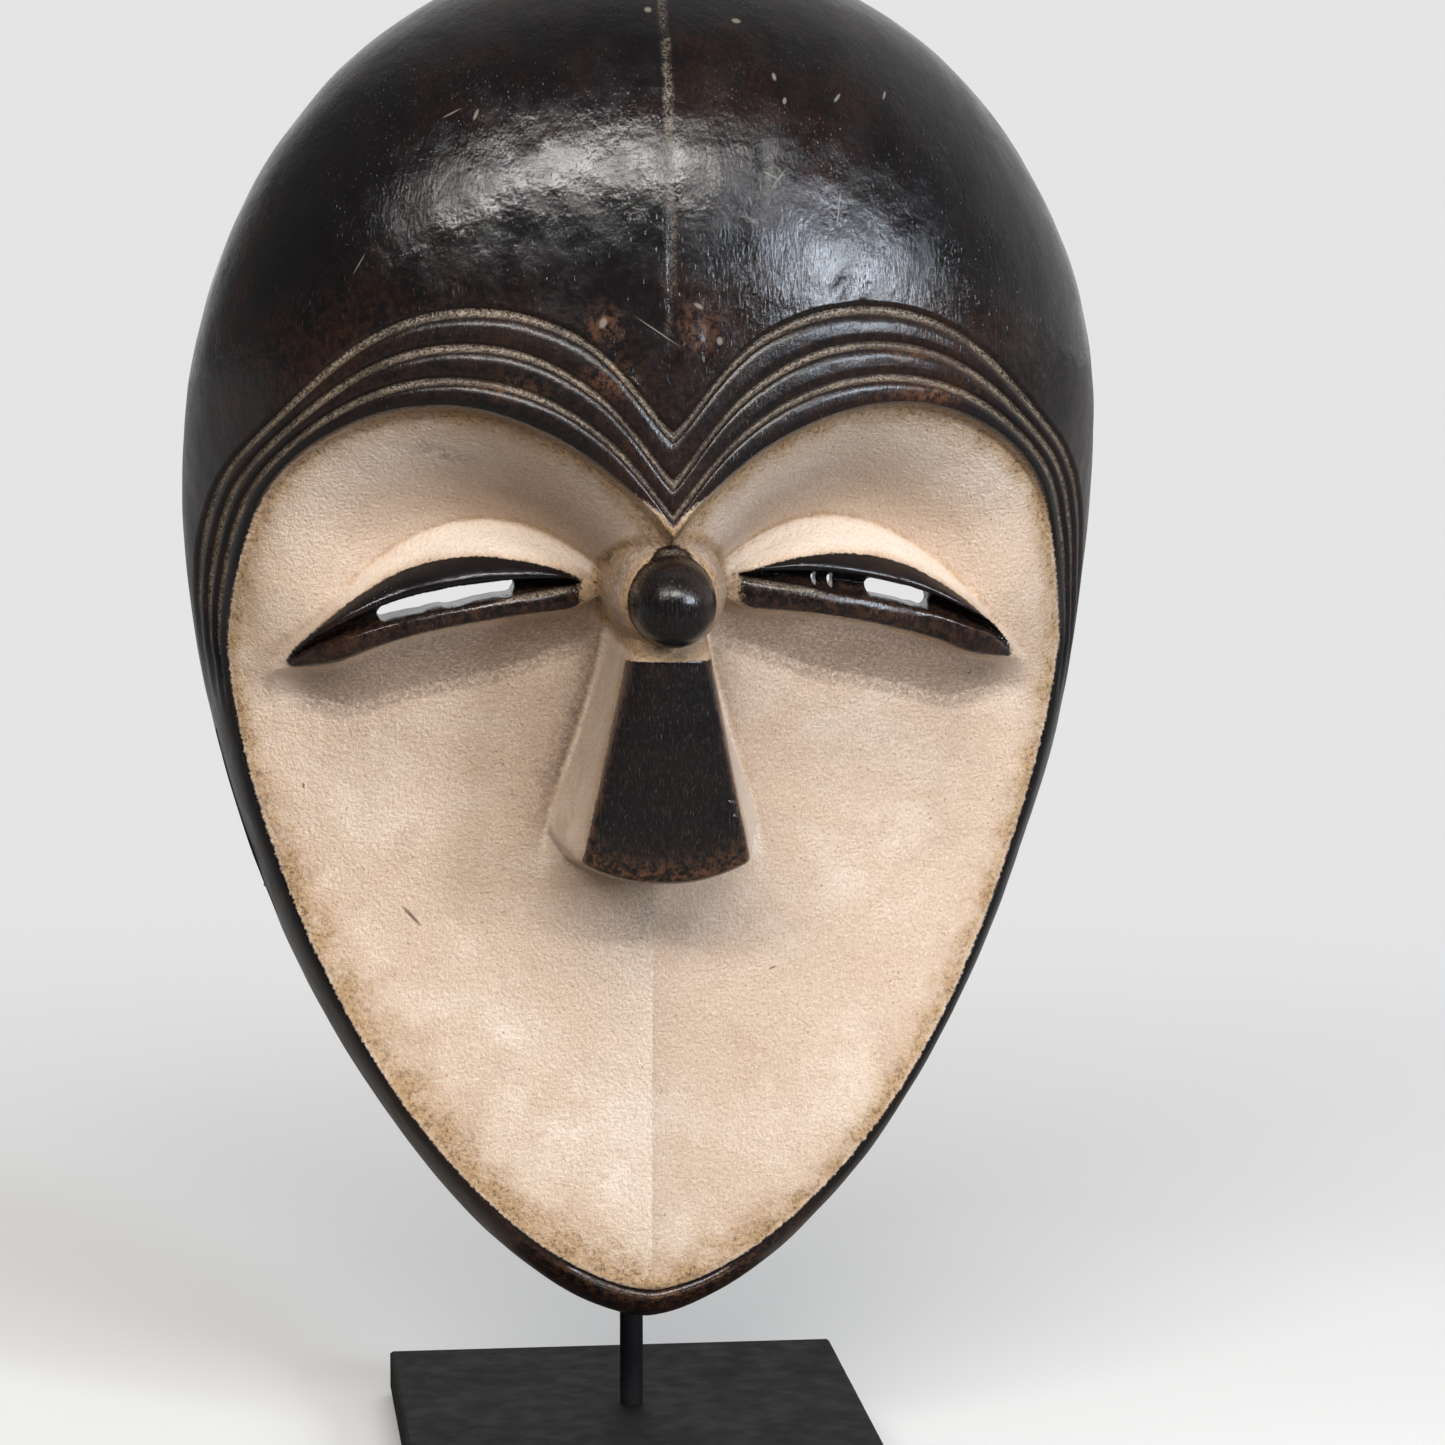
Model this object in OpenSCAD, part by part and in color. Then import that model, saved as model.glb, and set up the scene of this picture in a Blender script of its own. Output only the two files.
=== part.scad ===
// Carved wooden mask with a whitened heart-shaped face, hung on a hook stand with a square base.
// Millimetres, +Z up, the mask looks along -Y.
// Origin: centre of the felt's underside, on the axis of the post.

/* [Mask] */
// Width of the mask at its widest level
mask_w = 227; // [205:1:245]
// Height of the mask from the chin to the crown
mask_h = 342; // [315:1:370]
// Forward reach of the forehead from the rear rim
mask_d = 98; // [90:1:108]
// Thickness of the carved wall
wall_t = 12; // [11:0.5:14]
// Height of the chin above the base plate
chin_gap = 33; // [24:1:60]

/* [Face] */
// Depth of the ledge under the brow
brow_ledge = 4; // [2:0.5:6]
// Height of the eye bulge above the cheek
eye_bulge = 17; // [12:1:19]
// Height of the eye slit at its middle
slit_gap = 8; // [5:0.5:9]
// Width of the nose at its foot
nose_w = 41; // [34:1:46]
// Diameter of the knob on the bridge of the nose
knob_d = 26; // [20:1:28]

/* [Base] */
// Side of the square base plate
base_w = 120; // [110:1:160]
// Thickness of the base plate
base_t = 10; // [8:0.5:14]
// Thickness of the felt under the base plate
felt_t = 2; // [1:0.5:3]

/* [Post] */
// Diameter of the post rod
post_d = 6; // [5:0.5:7]
// Depth of the post's socket in the base plate
socket_depth = 5; // [4:0.5:5.5]
// Radius of the bend at the top of the post
bend_r = 14; // [11:1:18]

/* [Steady bar] */
// Height of the flat bar behind the mask
bar_h = 10; // [9:0.5:12]
// Thickness of the flat bar
bar_t = 3; // [2.5:0.5:4]
// Thickness of the pads between the bar and the rim
pad_t = 2; // [1.5:0.5:3]
// Diameter of the thumb screw's head
thumb_d = 13; // [11:0.5:16]

/* [Hidden] */
$fn = 64;

// Gaps: a turning or sliding fit, and the clearance between pieces that only rest on each other
run_fit = 0.05;
rest_gap = 0.3;

// The carving is laid out at these sizes and scaled to the driving ones
draft_w = 227;
draft_h = 342;
draft_d = 98;
scale_x = mask_w / draft_w;
scale_z = mask_h / draft_h;
scale_f = mask_d / draft_d;

// Levels of the draft above the chin (z), and depths in front of the rear rim (f)
widest_z = 208;
hub_z = 170;
forehead_z = 227;
crown_f = 40;
side_f = 13;
rim_t = 11;
inner_share = 0.87;

// Roundness of the outline below and above its widest level, of the dome's profile and of the face
cheek_power = 1.82;
cheek_root = 0.63;
crown_power = 2.12;
profile_power = 2.4;
face_power = 1.6;
face_root = 0.61;

// Roundness of the dome and the sides across, the fall of the cheeks from their ridge, and the levels
// between which the sides go over into the dome and the hollow into the hollow of the dome
dome_round = 0.7;
dome_flatten = [180, 245, -0.2];
side_power = 1.8;
side_root = 0.7;
cheek_fall = 1.25;
ridge_soft = 3;
dome_from = 155;
dome_to = 190;
vault_from = 200;
vault_to = 250;

// The whitened face: its half width, its levels, and the drop of the heart's edge to the middle
face_half_w = 103.6;
face_top_z = 175;
face_chin_z = 13;
brow_drop = 74.8;
brow_reach = 34;
brow_from = 21;
brow_to = 104;
ledge_from = 5;
ledge_to = 25;

// Rises of a depth over the levels: where each starts, where it ends, and by how much
temple_rise = [185, 275, 22];
chin_rise = [80, 10, 13];
edge_chin_f = 44;
cheek_dip = [45, 130, -14];
edge_rise = [145, 195, 9];
ridge_rise = [50, 205, 13];

// The eyes: their line, their ends, and how far the swell reaches above and below the line
eye_level = 188.6;
eye_inner = 10;
eye_outer = 94;
eye_droop = 3.09e-5;
eye_above = [12, 9];
eye_below = [14, 11];
slit_from = 33;
slit_to = 70;
slit_rise = 2.2;
slit_steps = 4;
slit_end = 0.45;
scoop_f = 13;
scoop_x = 50;
scoop_reach = [26, 12];

// The nose and the knob on its bridge
nose_foot_z = 121;
nose_top_z = 178;
nose_foot_f = 82;
nose_top_f = 92;
nose_root_f = 50;
bridge_top_z = 206;
bridge_root_f = 60;
knob_z = 190;
knob_front_f = 107;

// Fineness of the carved surface: directions round the hub, and rings on each part of it
directions = 112;
body_rings = 11;
face_rings = 15;
inner_rings = 10;
bunching = 6;

// Heights of the stand
plate_top = felt_t + base_t;
mask_z = plate_top + chin_gap;
clamp_w = 24;
clamp_h = 14;
clamp_d = 14;
mask_back = clamp_d / 2 + bar_t + pad_t + rest_gap;
bar_level = 112;
bar_z = mask_z + bar_level * scale_z;
bar_face = -clamp_d / 2 - bar_t;

// The hook passes under the lip of the rear rim and turns up to the hollow of the crown
rear_radius = 115;
function rear_inset(f) = f * f / rear_radius;
lip_z = mask_z + (draft_h - rear_inset(crown_f) - rim_t) * scale_z;
ceiling_z = mask_z + (draft_h - wall_t) * scale_z;
hook_y = -(mask_back + inner_share * crown_f * scale_f);
lip_room = 4;
hook_z = lip_z - post_d / 2 - lip_room;
tip_bend_r = 8;
cap_d = 12;
cap_len = 11.5;
cap_top = ceiling_z - rest_gap;
cap_roof = 4;
tip_z = cap_top - cap_roof;

// Fasteners
screw_d = 4;
screw_head_d = 8.4;
screw_len = 12;
screw_sink = 0.1;
key_d = 2.5;
key_depth = 1.3;
small_screw_d = 3;
small_head_d = 5.5;
small_head_h = 1.8;
small_screw_x = 8;
small_screw_depth = 7;
small_key_d = 2;
small_key_depth = 1;
pin_head_d = 7;
pin_head_h = 2;
pin_len = 12;
sleeve_d = 7;
sleeve_len = 10;
thumb_h = 8;
thumb_gap = 0.4;
thumb_notches = 18;
notch_d = 1.6;
rim_inner_x = (outline_half(bar_level) - rear_inset(side_f) - rim_t) * scale_x;
pin_room = 3.5;
pin_x = rim_inner_x - sleeve_d / 2 - pin_room;
pad_x = rim_inner_x + rim_t / 2;
pad_w = 12;
bar_len = 2 * (pad_x + pad_w / 2);
edge_bevel = 0.8;

wood = [0.13, 0.10, 0.08];
black = [0.06, 0.06, 0.06];
steel = [0.62, 0.63, 0.64];
brass = [0.70, 0.56, 0.30];
rubber = [0.09, 0.09, 0.09];
felt = [0.10, 0.11, 0.10];

// Smooth step from 0 at a to 1 at b
function ramp(a, b, v) = let (t = min(1, max(0, (v - a) / (b - a)))) t * t * (3 - 2 * t);

// One of the rises above, at a level
function rise(span, z) = span[2] * ramp(span[0], span[1], z);

// Half widths of the mask's outline and of the whitened face at a level of the draft
function outline_half(z) = z < widest_z
    ? draft_w / 2 * pow(max(0, 1 - pow((widest_z - z) / widest_z, cheek_power)), cheek_root)
    : draft_w / 2 * pow(max(0, 1 - pow((z - widest_z) / (draft_h - widest_z), crown_power)), 1 / crown_power);
function face_half(z) = face_half_w
    * pow(max(0, 1 - pow(max(0, face_top_z - z) / (face_top_z - face_chin_z), face_power)), face_root);

// Distance from the hub, in one direction, to the outline or to the face's lower edge
function outline_reach(a, lo = 0, hi = 260, n = 26) = n == 0 ? lo
    : let (m = (lo + hi) / 2, inside = abs(m * cos(a)) < outline_half(hub_z + m * sin(a)))
    outline_reach(a, inside ? m : lo, inside ? hi : m, n - 1);
function cheek_reach(a, lo = 0, hi = 260, n = 26) = n == 0 ? lo
    : let (m = (lo + hi) / 2, inside = abs(m * cos(a)) < face_half(hub_z + m * sin(a)))
    cheek_reach(a, inside ? m : lo, inside ? hi : m, n - 1);

// Degrees above the level of the hub, and the heart-shaped edge of the face
function lift(a) = asin(sin(a));
function face_reach(a) = lift(a) < 0 ? cheek_reach(a)
    : face_half_w - brow_drop * ramp(brow_from, brow_to, lift(a));

// Share of a step along the ray that goes square to the face's edge
function edge_share(a, rf) = let (
        t = min(1, max(0, (lift(a) - brow_from) / (brow_to - brow_from))),
        slope = brow_drop * 6 * t * (1 - t) / ((brow_to - brow_from) * PI / 180)
    ) lift(a) < 0 ? 1 : rf / sqrt(rf * rf + slope * slope);

// Depth of the widest contour, of the middle line, of the face's edge and of its middle ridge
function contour_f(z) = side_f + rise(temple_rise, z) + rise(chin_rise, z)
    + (crown_f - side_f - temple_rise[2]) * pow(max(0, (z - widest_z) / (draft_h - widest_z)), 4);
function middle_f(z) = z < forehead_z
    ? draft_d - 0.0008 * pow(forehead_z - z, 2)
    : crown_f + (draft_d - crown_f)
        * pow(max(0, 1 - pow((z - forehead_z) / (draft_h - forehead_z), profile_power)), 1 / profile_power);
function edge_f(z) = edge_chin_f + rise(cheek_dip, z) + rise(edge_rise, z);
function ridge_f(z) = edge_chin_f + rise(ridge_rise, z);

// Depth of the dome, of the plain face, and of the bulge of the eye
function dome_f(x, z) = let (
        u = min(1, abs(x) / max(0.5, outline_half(z))),
        power = dome_round + rise(dome_flatten, z)
    ) contour_f(z) + (middle_f(z) - contour_f(z)) * pow(1 - u * u, power);
function cheek_f(x, z) = let (
        across = sqrt(x * x + ridge_soft * ridge_soft) - ridge_soft,
        u = min(1.15, across / max(2 * ridge_soft, face_half(z)))
    ) ridge_f(z) - (ridge_f(z) - edge_f(z)) * pow(u, cheek_fall);
function eye_line(x) = eye_level - eye_droop * pow(abs(x), 3);
function eye_share(x) =
    sin(180 * pow(min(1, max(0, (abs(x) - eye_inner) / (eye_outer - eye_inner))), 0.85));
function eye_f(x, z) = let (
        e = max(0, eye_share(x)),
        v = z - eye_line(x),
        span = v > 0 ? eye_above : eye_below,
        u = v / (span[0] + span[1] * e)
    ) eye_bulge * e * pow(max(0, 1 - u * u), 2);

// Depth of the hollowed face, with its ledge under the brow
function face_f(x, z, a, r, rf) = let (
        t = ramp(0, brow_reach, (rf - r) * edge_share(a, rf)),
        up = ramp(-8, 12, lift(a)),
        plain = cheek_f(x, z),
        under_brow = (dome_f(x, z) - brow_ledge * ramp(ledge_from, ledge_to, lift(a))) * (1 - t) + plain * t
    ) plain * (1 - up) + under_brow * up + eye_f(x, z);

// Depth of the hollow: the dome and the face drawn in by the wall, and scooped behind the eyes
function hollow_f(x, z, dome) = let (
        plain = cheek_f(x, z) - wall_t + 1,
        across = (abs(x) - scoop_x) / scoop_reach[0],
        up = (z - eye_level + 2) / scoop_reach[1],
        scoop = scoop_f * exp(-across * across - up * up)
    ) min(dome, plain + max(0, dome - plain) * ramp(vault_from, vault_to, z) + scoop);

// Depth between the face's edge (share 0) and the outline (share 1)
function body_f(x, z, rf, ro, a, share) = let (
        z_edge = hub_z + rf * sin(a),
        z_out = hub_z + ro * sin(a),
        round = pow(1 - pow(share, side_power), side_root),
        side = contour_f(z_out) + (edge_f(z_edge) - contour_f(z_out)) * round,
        up = ramp(dome_from, dome_to, z)
    ) side * (1 - up) + dome_f(x, z) * up;

// Directions round the hub, closer together at the chin and the brow, and the edges that they meet
angles = [for (j = [0:directions - 1]) let (t = 360 * j / directions) t + bunching / 2 * sin(2 * t)];
outline_r = [for (a = angles) outline_reach(a)];
face_r = [for (a = angles) face_reach(a)];

// A point of the draft, placed and scaled
function placed(x, z, f) = [x * scale_x, -(mask_back + f * scale_f), mask_z + z * scale_z];
function on_ray(j, r, f) = placed(r * cos(angles[j]), hub_z + r * sin(angles[j]), f);

// Points on ray j of one ring of each part of the surface
function rear_z(j) = hub_z + outline_r[j] * sin(angles[j]);
function rear_point(j, share, inner) = let (
        f = contour_f(rear_z(j)) * (inner ? inner_share : 1),
        inset = rear_inset(contour_f(rear_z(j))) * pow(1 - share, 2),
        wall = inner ? rim_t + (wall_t - rim_t) * share : 0
    ) on_ray(j, outline_r[j] - inset - wall, f * share);
function body_point(j, share) = let (
        a = angles[j],
        r = face_r[j] + (outline_r[j] - face_r[j]) * share,
        x = r * cos(a),
        z = hub_z + r * sin(a)
    ) on_ray(j, r, body_f(x, z, face_r[j], outline_r[j], a, share));
function face_point(j, share) = let (
        r = (face_r[j] - 0.6) * share,
        x = r * cos(angles[j]),
        z = hub_z + r * sin(angles[j])
    ) on_ray(j, r, face_f(x, z, angles[j], r, face_r[j]));
function inner_point(j, share) = let (
        r = (outline_r[j] - wall_t) * share,
        x = r * cos(angles[j]),
        z = hub_z + r * sin(angles[j]),
        k = outline_r[j] / (outline_r[j] - wall_t)
    ) on_ray(j, r, hollow_f(x, z, inner_share * dome_f(k * x, hub_z + k * (z - hub_z))));

// Rings from the middle of the hollow, over the rear rim, to the middle of the face
function ring(kind, share) = [for (j = [0:directions - 1])
    kind == "inner" ? inner_point(j, share)
    : kind == "hollow" ? rear_point(j, share, true)
    : kind == "rear" ? rear_point(j, share, false)
    : kind == "body" ? body_point(j, share)
    : face_point(j, share)];
rings = concat(
    [for (i = [1:inner_rings]) ring("inner", sin(90 * i / (inner_rings + 0.6)))],
    [for (i = [0:2]) ring("hollow", 1 - i / 2)],
    [for (i = [0:2]) ring("rear", i / 2)],
    [for (i = [1:body_rings]) ring("body", cos(90 * i / body_rings))],
    [for (i = [0:face_rings - 1]) ring("face", 1 - i / face_rings)]
);
last_ring = len(rings) - 1;
hollow_middle = placed(0, hub_z, hollow_f(0, hub_z, inner_share * draft_d));
face_middle = placed(0, hub_z, face_f(0, hub_z, 90, 0, face_reach(90)));
shell_points = concat([hollow_middle, face_middle], [for (r = rings) each r]);
function at(i, j) = 2 + i * directions + j % directions;

// Two triangles for each patch between rings, split along its shorter diagonal
function span(a, b) = norm(shell_points[a] - shell_points[b]);
function patch(a, b, c, d) = span(a, c) < span(b, d) ? [[a, b, c], [a, c, d]] : [[a, b, d], [b, c, d]];
shell_faces = concat(
    [for (j = [0:directions - 1]) [0, at(0, j), at(0, j + 1)]],
    [for (i = [0:last_ring - 1], j = [0:directions - 1])
        each patch(at(i, j), at(i + 1, j), at(i + 1, j + 1), at(i, j + 1))],
    [for (j = [0:directions - 1]) [at(last_ring, j), 1, at(last_ring, j + 1)]]
);

// A thin upright slab of the draft, used as an end of a hulled block
module slab(x, z, f, w, d, h) {
    p = placed(x, z, f);
    translate(p) cube([w * scale_x, d * scale_f, h * scale_z], center = true);
}

module nose() {
    thin = 0.4;
    top_w = nose_w / 2;
    foot_flare = 12;
    top_flare = 8;
    step = 3;
    hull() {
        slab(0, nose_foot_z, nose_foot_f, nose_w, thin, thin);
        slab(0, nose_foot_z, nose_root_f, nose_w + foot_flare, thin, thin);
        slab(0, nose_top_z, nose_top_f, top_w, thin, thin);
        slab(0, nose_top_z, bridge_root_f, top_w + top_flare, thin, thin);
    }
    // The bridge behind the knob runs up into the point of the brow
    hull() {
        slab(0, nose_top_z, nose_top_f - step, top_w, thin, thin);
        slab(0, nose_top_z, bridge_root_f, top_w + top_flare, thin, thin);
        slab(0, bridge_top_z, nose_top_f - step, top_w - top_flare / 2, thin, thin);
        slab(0, bridge_top_z, bridge_root_f, top_w + top_flare / 2, thin, thin);
    }
}

module knob() {
    translate(placed(0, knob_z, knob_front_f - knob_d / 2)) sphere(d = knob_d, $fn = 32);
}

// The see-through part of an eye slit, in short straight steps
module eye_slit(side) {
    step = (slit_to - slit_from) / slit_steps;
    middle_f = 60;
    cut_depth = 60;
    thin = 0.1;
    for (i = [0:slit_steps - 1]) hull() for (k = [i, i + 1]) {
        x = slit_from + step * k;
        h = slit_gap * (slit_end + (1 - slit_end) * sin(180 * k / slit_steps));
        slab(side * x, eye_line(x) + slit_rise, middle_f, thin, cut_depth, h);
    }
}

module mask_shell() {
    color(wood) difference() {
        union() {
            polyhedron(shell_points, shell_faces, convexity = 10);
            nose();
            knob();
        }
        eye_slit(1);
        eye_slit(-1);
    }
}

module base_plate() {
    neck = screw_d + 2 * rest_gap;
    mouth = screw_head_d + 2 * screw_sink + 2 * rest_gap;
    sink = (mouth - neck) / 2;
    color(black) difference() {
        translate([-base_w / 2, -base_w / 2, felt_t]) cube([base_w, base_w, base_t]);
        translate([0, 0, plate_top - socket_depth]) cylinder(d = post_d + 2 * run_fit, h = socket_depth + 1);
        translate([0, 0, felt_t - 1]) cylinder(d = neck, h = base_t);
        translate([0, 0, felt_t]) cylinder(d1 = mouth, d2 = neck, h = sink);
        for (q = [0:3]) rotate([0, 0, 90 * q]) translate([base_w / 2, 0, plate_top]) rotate([0, 45, 0])
            cube([edge_bevel * sqrt(2), base_w + 2, edge_bevel * sqrt(2)], center = true);
    }
}

module base_felt() {
    color(felt) translate([-base_w / 2 + 1, -base_w / 2 + 1, 0]) cube([base_w - 2, base_w - 2, felt_t]);
}

// A quarter bend of the rod in the YZ plane, from +Y round to +Z about its own centre
module rod_bend(r) {
    rotate([90, 0, 90]) rotate_extrude(angle = 90) translate([r, 0]) circle(d = post_d);
}

module post() {
    foot_z = plate_top - socket_depth + run_fit;
    turn_z = hook_z - bend_r;
    run_end = hook_y + tip_bend_r;
    tapped = screw_len - base_t + socket_depth + 1;
    color(black) difference() {
        union() {
            translate([0, 0, foot_z]) cylinder(d = post_d, h = turn_z - foot_z);
            translate([0, -bend_r, turn_z]) rod_bend(bend_r);
            translate([0, -bend_r, hook_z]) rotate([90, 0, 0]) cylinder(d = post_d, h = -bend_r - run_end);
            translate([0, run_end, hook_z + tip_bend_r]) rotate([180, 0, 0]) rod_bend(tip_bend_r);
            translate([0, hook_y, hook_z + tip_bend_r]) cylinder(d = post_d, h = tip_z - hook_z - tip_bend_r);
        }
        translate([0, 0, foot_z - 1]) cylinder(d = screw_d + 2 * run_fit, h = tapped + 1);
    }
}

module post_screw() {
    head_h = (screw_head_d - screw_d) / 2;
    head_z = felt_t + screw_sink;
    color(steel) difference() {
        union() {
            translate([0, 0, head_z]) cylinder(d1 = screw_head_d, d2 = screw_d, h = head_h);
            translate([0, 0, head_z + head_h / 2]) cylinder(d = screw_d, h = screw_len - head_h / 2);
        }
        translate([0, 0, felt_t]) cylinder(d = key_d, h = screw_sink + key_depth, $fn = 6);
    }
}

module crown_cap() {
    color(rubber) difference() {
        union() {
            translate([0, hook_y, cap_top - cap_len]) cylinder(d = cap_d, h = cap_len - cap_d / 2);
            translate([0, hook_y, cap_top - cap_d / 2]) sphere(d = cap_d);
        }
        translate([0, hook_y, cap_top - cap_len - 1])
            cylinder(d = post_d + 2 * run_fit, h = cap_len - cap_roof + 1 + run_fit);
    }
}

// Places a piece that lies along -Y, at a point behind or on the bar
module along_front(x, y, z) {
    translate([x, y, z]) rotate([90, 0, 0]) children();
}

module clamp_block() {
    color(black) difference() {
        translate([-clamp_w / 2, -clamp_d / 2, bar_z - clamp_h / 2]) cube([clamp_w, clamp_d, clamp_h]);
        translate([0, 0, bar_z - clamp_h]) cylinder(d = post_d + 2 * run_fit, h = 2 * clamp_h);
        along_front(0, clamp_d, bar_z) cylinder(d = screw_d + 2 * run_fit, h = clamp_d);
        for (s = [-1, 1]) along_front(s * small_screw_x, -clamp_d / 2 + small_screw_depth + 1, bar_z)
            cylinder(d = small_screw_d + 2 * run_fit, h = small_screw_depth + 2);
    }
}

module thumb_screw() {
    shoulder = clamp_d / 2 + thumb_gap;
    color(brass) difference() {
        union() {
            along_front(0, shoulder + thumb_h, bar_z) cylinder(d = thumb_d, h = thumb_h);
            along_front(0, shoulder + 1, bar_z)
                cylinder(d = screw_d, h = shoulder + 1 - post_d / 2 - run_fit);
        }
        for (i = [0:thumb_notches - 1]) translate([0, 0, bar_z]) rotate([0, 360 * i / thumb_notches, 0])
            along_front(thumb_d / 2 + notch_d / 4, shoulder + thumb_h + 1, 0)
                cylinder(d = notch_d, h = thumb_h - 1);
    }
}

module crossbar() {
    color(black) difference() {
        translate([-bar_len / 2, bar_face, bar_z - bar_h / 2]) cube([bar_len, bar_t, bar_h]);
        for (s = [-1, 1]) {
            along_front(s * small_screw_x, 0, bar_z) cylinder(d = small_screw_d + 2 * run_fit, h = clamp_d);
            along_front(s * pin_x, 0, bar_z) cylinder(d = screw_d + 2 * run_fit, h = clamp_d);
        }
    }
}

module bar_screws() {
    reach = bar_t + small_screw_depth;
    color(steel) for (s = [-1, 1]) difference() {
        union() {
            along_front(s * small_screw_x, bar_face, bar_z) cylinder(d = small_head_d, h = small_head_h);
            along_front(s * small_screw_x, bar_face + reach, bar_z)
                cylinder(d = small_screw_d, h = reach + 0.5);
        }
        along_front(s * small_screw_x, bar_face - small_head_h + small_key_depth, bar_z)
            cylinder(d = small_key_d, h = small_head_h, $fn = 6);
    }
}

// Button-headed pins from behind the bar, reaching into the hollow
module locating_pins() {
    back = bar_face + bar_t;
    color(steel) for (s = [-1, 1]) {
        along_front(s * pin_x, back + pin_head_h, bar_z) cylinder(d = pin_head_d, h = pin_head_h);
        along_front(s * pin_x, back + 0.5, bar_z) cylinder(d = screw_d, h = 0.5 + bar_t + pin_len);
    }
}

module pin_sleeve(side) {
    color(rubber) along_front(side * pin_x, bar_face, bar_z) difference() {
        cylinder(d = sleeve_d, h = sleeve_len);
        translate([0, 0, -1]) cylinder(d = screw_d + 2 * run_fit, h = sleeve_len + 2);
    }
}

module rim_pad(side) {
    color(felt) translate([side * pad_x - pad_w / 2, bar_face - pad_t, bar_z - bar_h / 2 + 0.5])
        cube([pad_w, pad_t, bar_h - 1]);
}

mask_shell();
base_plate();
base_felt();
post();
post_screw();
crown_cap();
clamp_block();
thumb_screw();
crossbar();
bar_screws();
locating_pins();
pin_sleeve(-1);  // pin_sleeve_left
pin_sleeve(1);  // pin_sleeve_right
rim_pad(-1);  // rim_pad_left
rim_pad(1);  // rim_pad_right
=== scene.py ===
import math
from functools import reduce
from types import SimpleNamespace

import bpy
import numpy as np
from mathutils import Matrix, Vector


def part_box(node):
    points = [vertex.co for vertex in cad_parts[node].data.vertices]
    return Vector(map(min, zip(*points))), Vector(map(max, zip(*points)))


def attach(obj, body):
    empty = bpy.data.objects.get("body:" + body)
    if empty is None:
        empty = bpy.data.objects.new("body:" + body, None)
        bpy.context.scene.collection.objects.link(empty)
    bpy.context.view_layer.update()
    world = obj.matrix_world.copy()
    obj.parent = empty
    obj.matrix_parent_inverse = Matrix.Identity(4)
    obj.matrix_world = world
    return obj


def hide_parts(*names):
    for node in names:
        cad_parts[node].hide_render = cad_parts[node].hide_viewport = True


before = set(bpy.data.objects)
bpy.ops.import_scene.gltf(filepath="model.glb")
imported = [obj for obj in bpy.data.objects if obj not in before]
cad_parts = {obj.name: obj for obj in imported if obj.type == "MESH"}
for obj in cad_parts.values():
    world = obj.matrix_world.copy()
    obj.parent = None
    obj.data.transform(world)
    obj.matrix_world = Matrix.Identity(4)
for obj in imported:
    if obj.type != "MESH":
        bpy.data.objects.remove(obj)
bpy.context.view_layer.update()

# A carved mask takes the place of its plain solid, and the stand's own solids get their finish

# Places of the carving in the frame: draft millimetres to metres
MM = 1000.0
DRAFT_W, DRAFT_H, DRAFT_D = 227.0, 342.0, 98.0
FOREMOST_F = 107.0
shell_low, shell_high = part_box("mask_shell")
SCALE_X = (shell_high[0] - shell_low[0]) / DRAFT_W
SCALE_Z = (shell_high[2] - shell_low[2]) / DRAFT_H
SCALE_F = (shell_high[1] - shell_low[1]) / FOREMOST_F
REAR_Y = shell_high[1]
CHIN_Z = shell_low[2]

# Levels above the chin and depths in front of the rear rim, in draft millimetres
WIDEST_Z = 208.0
HUB_Z = 170.0
FOREHEAD_Z = 227.0
CROWN_F, SIDE_F, CHIN_F, TEMPLE_RISE = 40.0, 13.0, 26.0, 22.0
RIM_T, WALL_T, RIM_ROUND = 11.0, 12.0, 1.2
INNER_SHARE = 0.87
FACE_HALF_W = 103.6
FACE_TOP_Z, FACE_CHIN_Z = 175.0, 10.5
BROW_DROP, BROW_REACH, BROW_LEDGE = 74.8, 40.0, 4.0
BROW_FROM, BROW_TO = 21.0, 104.0
ARCH_RISE, ARCH_AT, ARCH_SPAN = 2.6, 51.0, 15.0
LINE_HALF, EDGE_ROUND = 1.3, 2.4
EYE_LEVEL, EYE_INNER, EYE_OUTER, EYE_BULGE = 188.6, 10.0, 94.0, 16.0
SLIT_RISE, SLIT_HALF, SLIT_DEPTH = 2.9, 2.5, 7.0
SLIT_INNER, SLIT_LENGTH = 19.0, 72.0
NOSE_FOOT_Z, NOSE_TOP_Z = 122.0, 174.0
NOSE_FOOT_HALF, NOSE_TOP_HALF = 20.7, 10.3
NOSE_FOOT_F, NOSE_TOP_F = 83.0, 93.0
NOSE_NICKS = (137.4, 140.8)
KNOB_Z, KNOB_R, COLLAR_R = 190.0, 10.0, 14.6
BALL_X, BALL_Z, BALL_TALL = 0.2, 189.0, 1.06
ADZE_WIDE, ADZE_TALL = 13, 24

# A depth behind everything, and a size that takes in every depth
FAR_BELOW, EVERY_DEPTH = -200.0, 1e5

# Fineness of the carved surface, and how many rings of its rear rim are raw wood
DIRECTIONS, HOLLOW_RINGS, RAW_RIM_RINGS = 720, 44, 12

# Unevenness of the hand-made surface: height, size and seed
UNEVEN = ((0.35, 24, 1), (0.12, 7, 2))

# See-through stretches of the eye slits: side, from and to along the eye
SLITS = ((-1, 34.5, 67.5), (1, 50.6, 67.5), (1, 41.2, 42.9), (1, 37.3, 38.8))

# Small dents of the dome: place across, level and size
DENTS = (
    (-12, 338, 1.6), (11, 337, 1.8), (24, 317, 1.3), (22, 292, 1.5), (30, 302, 1.1),
    (-34, 300, 1.2), (40, 262, 1.4), (46, 257, 1.2), (-8, 243, 1.4), (8, 252, 1.6),
)

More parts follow.
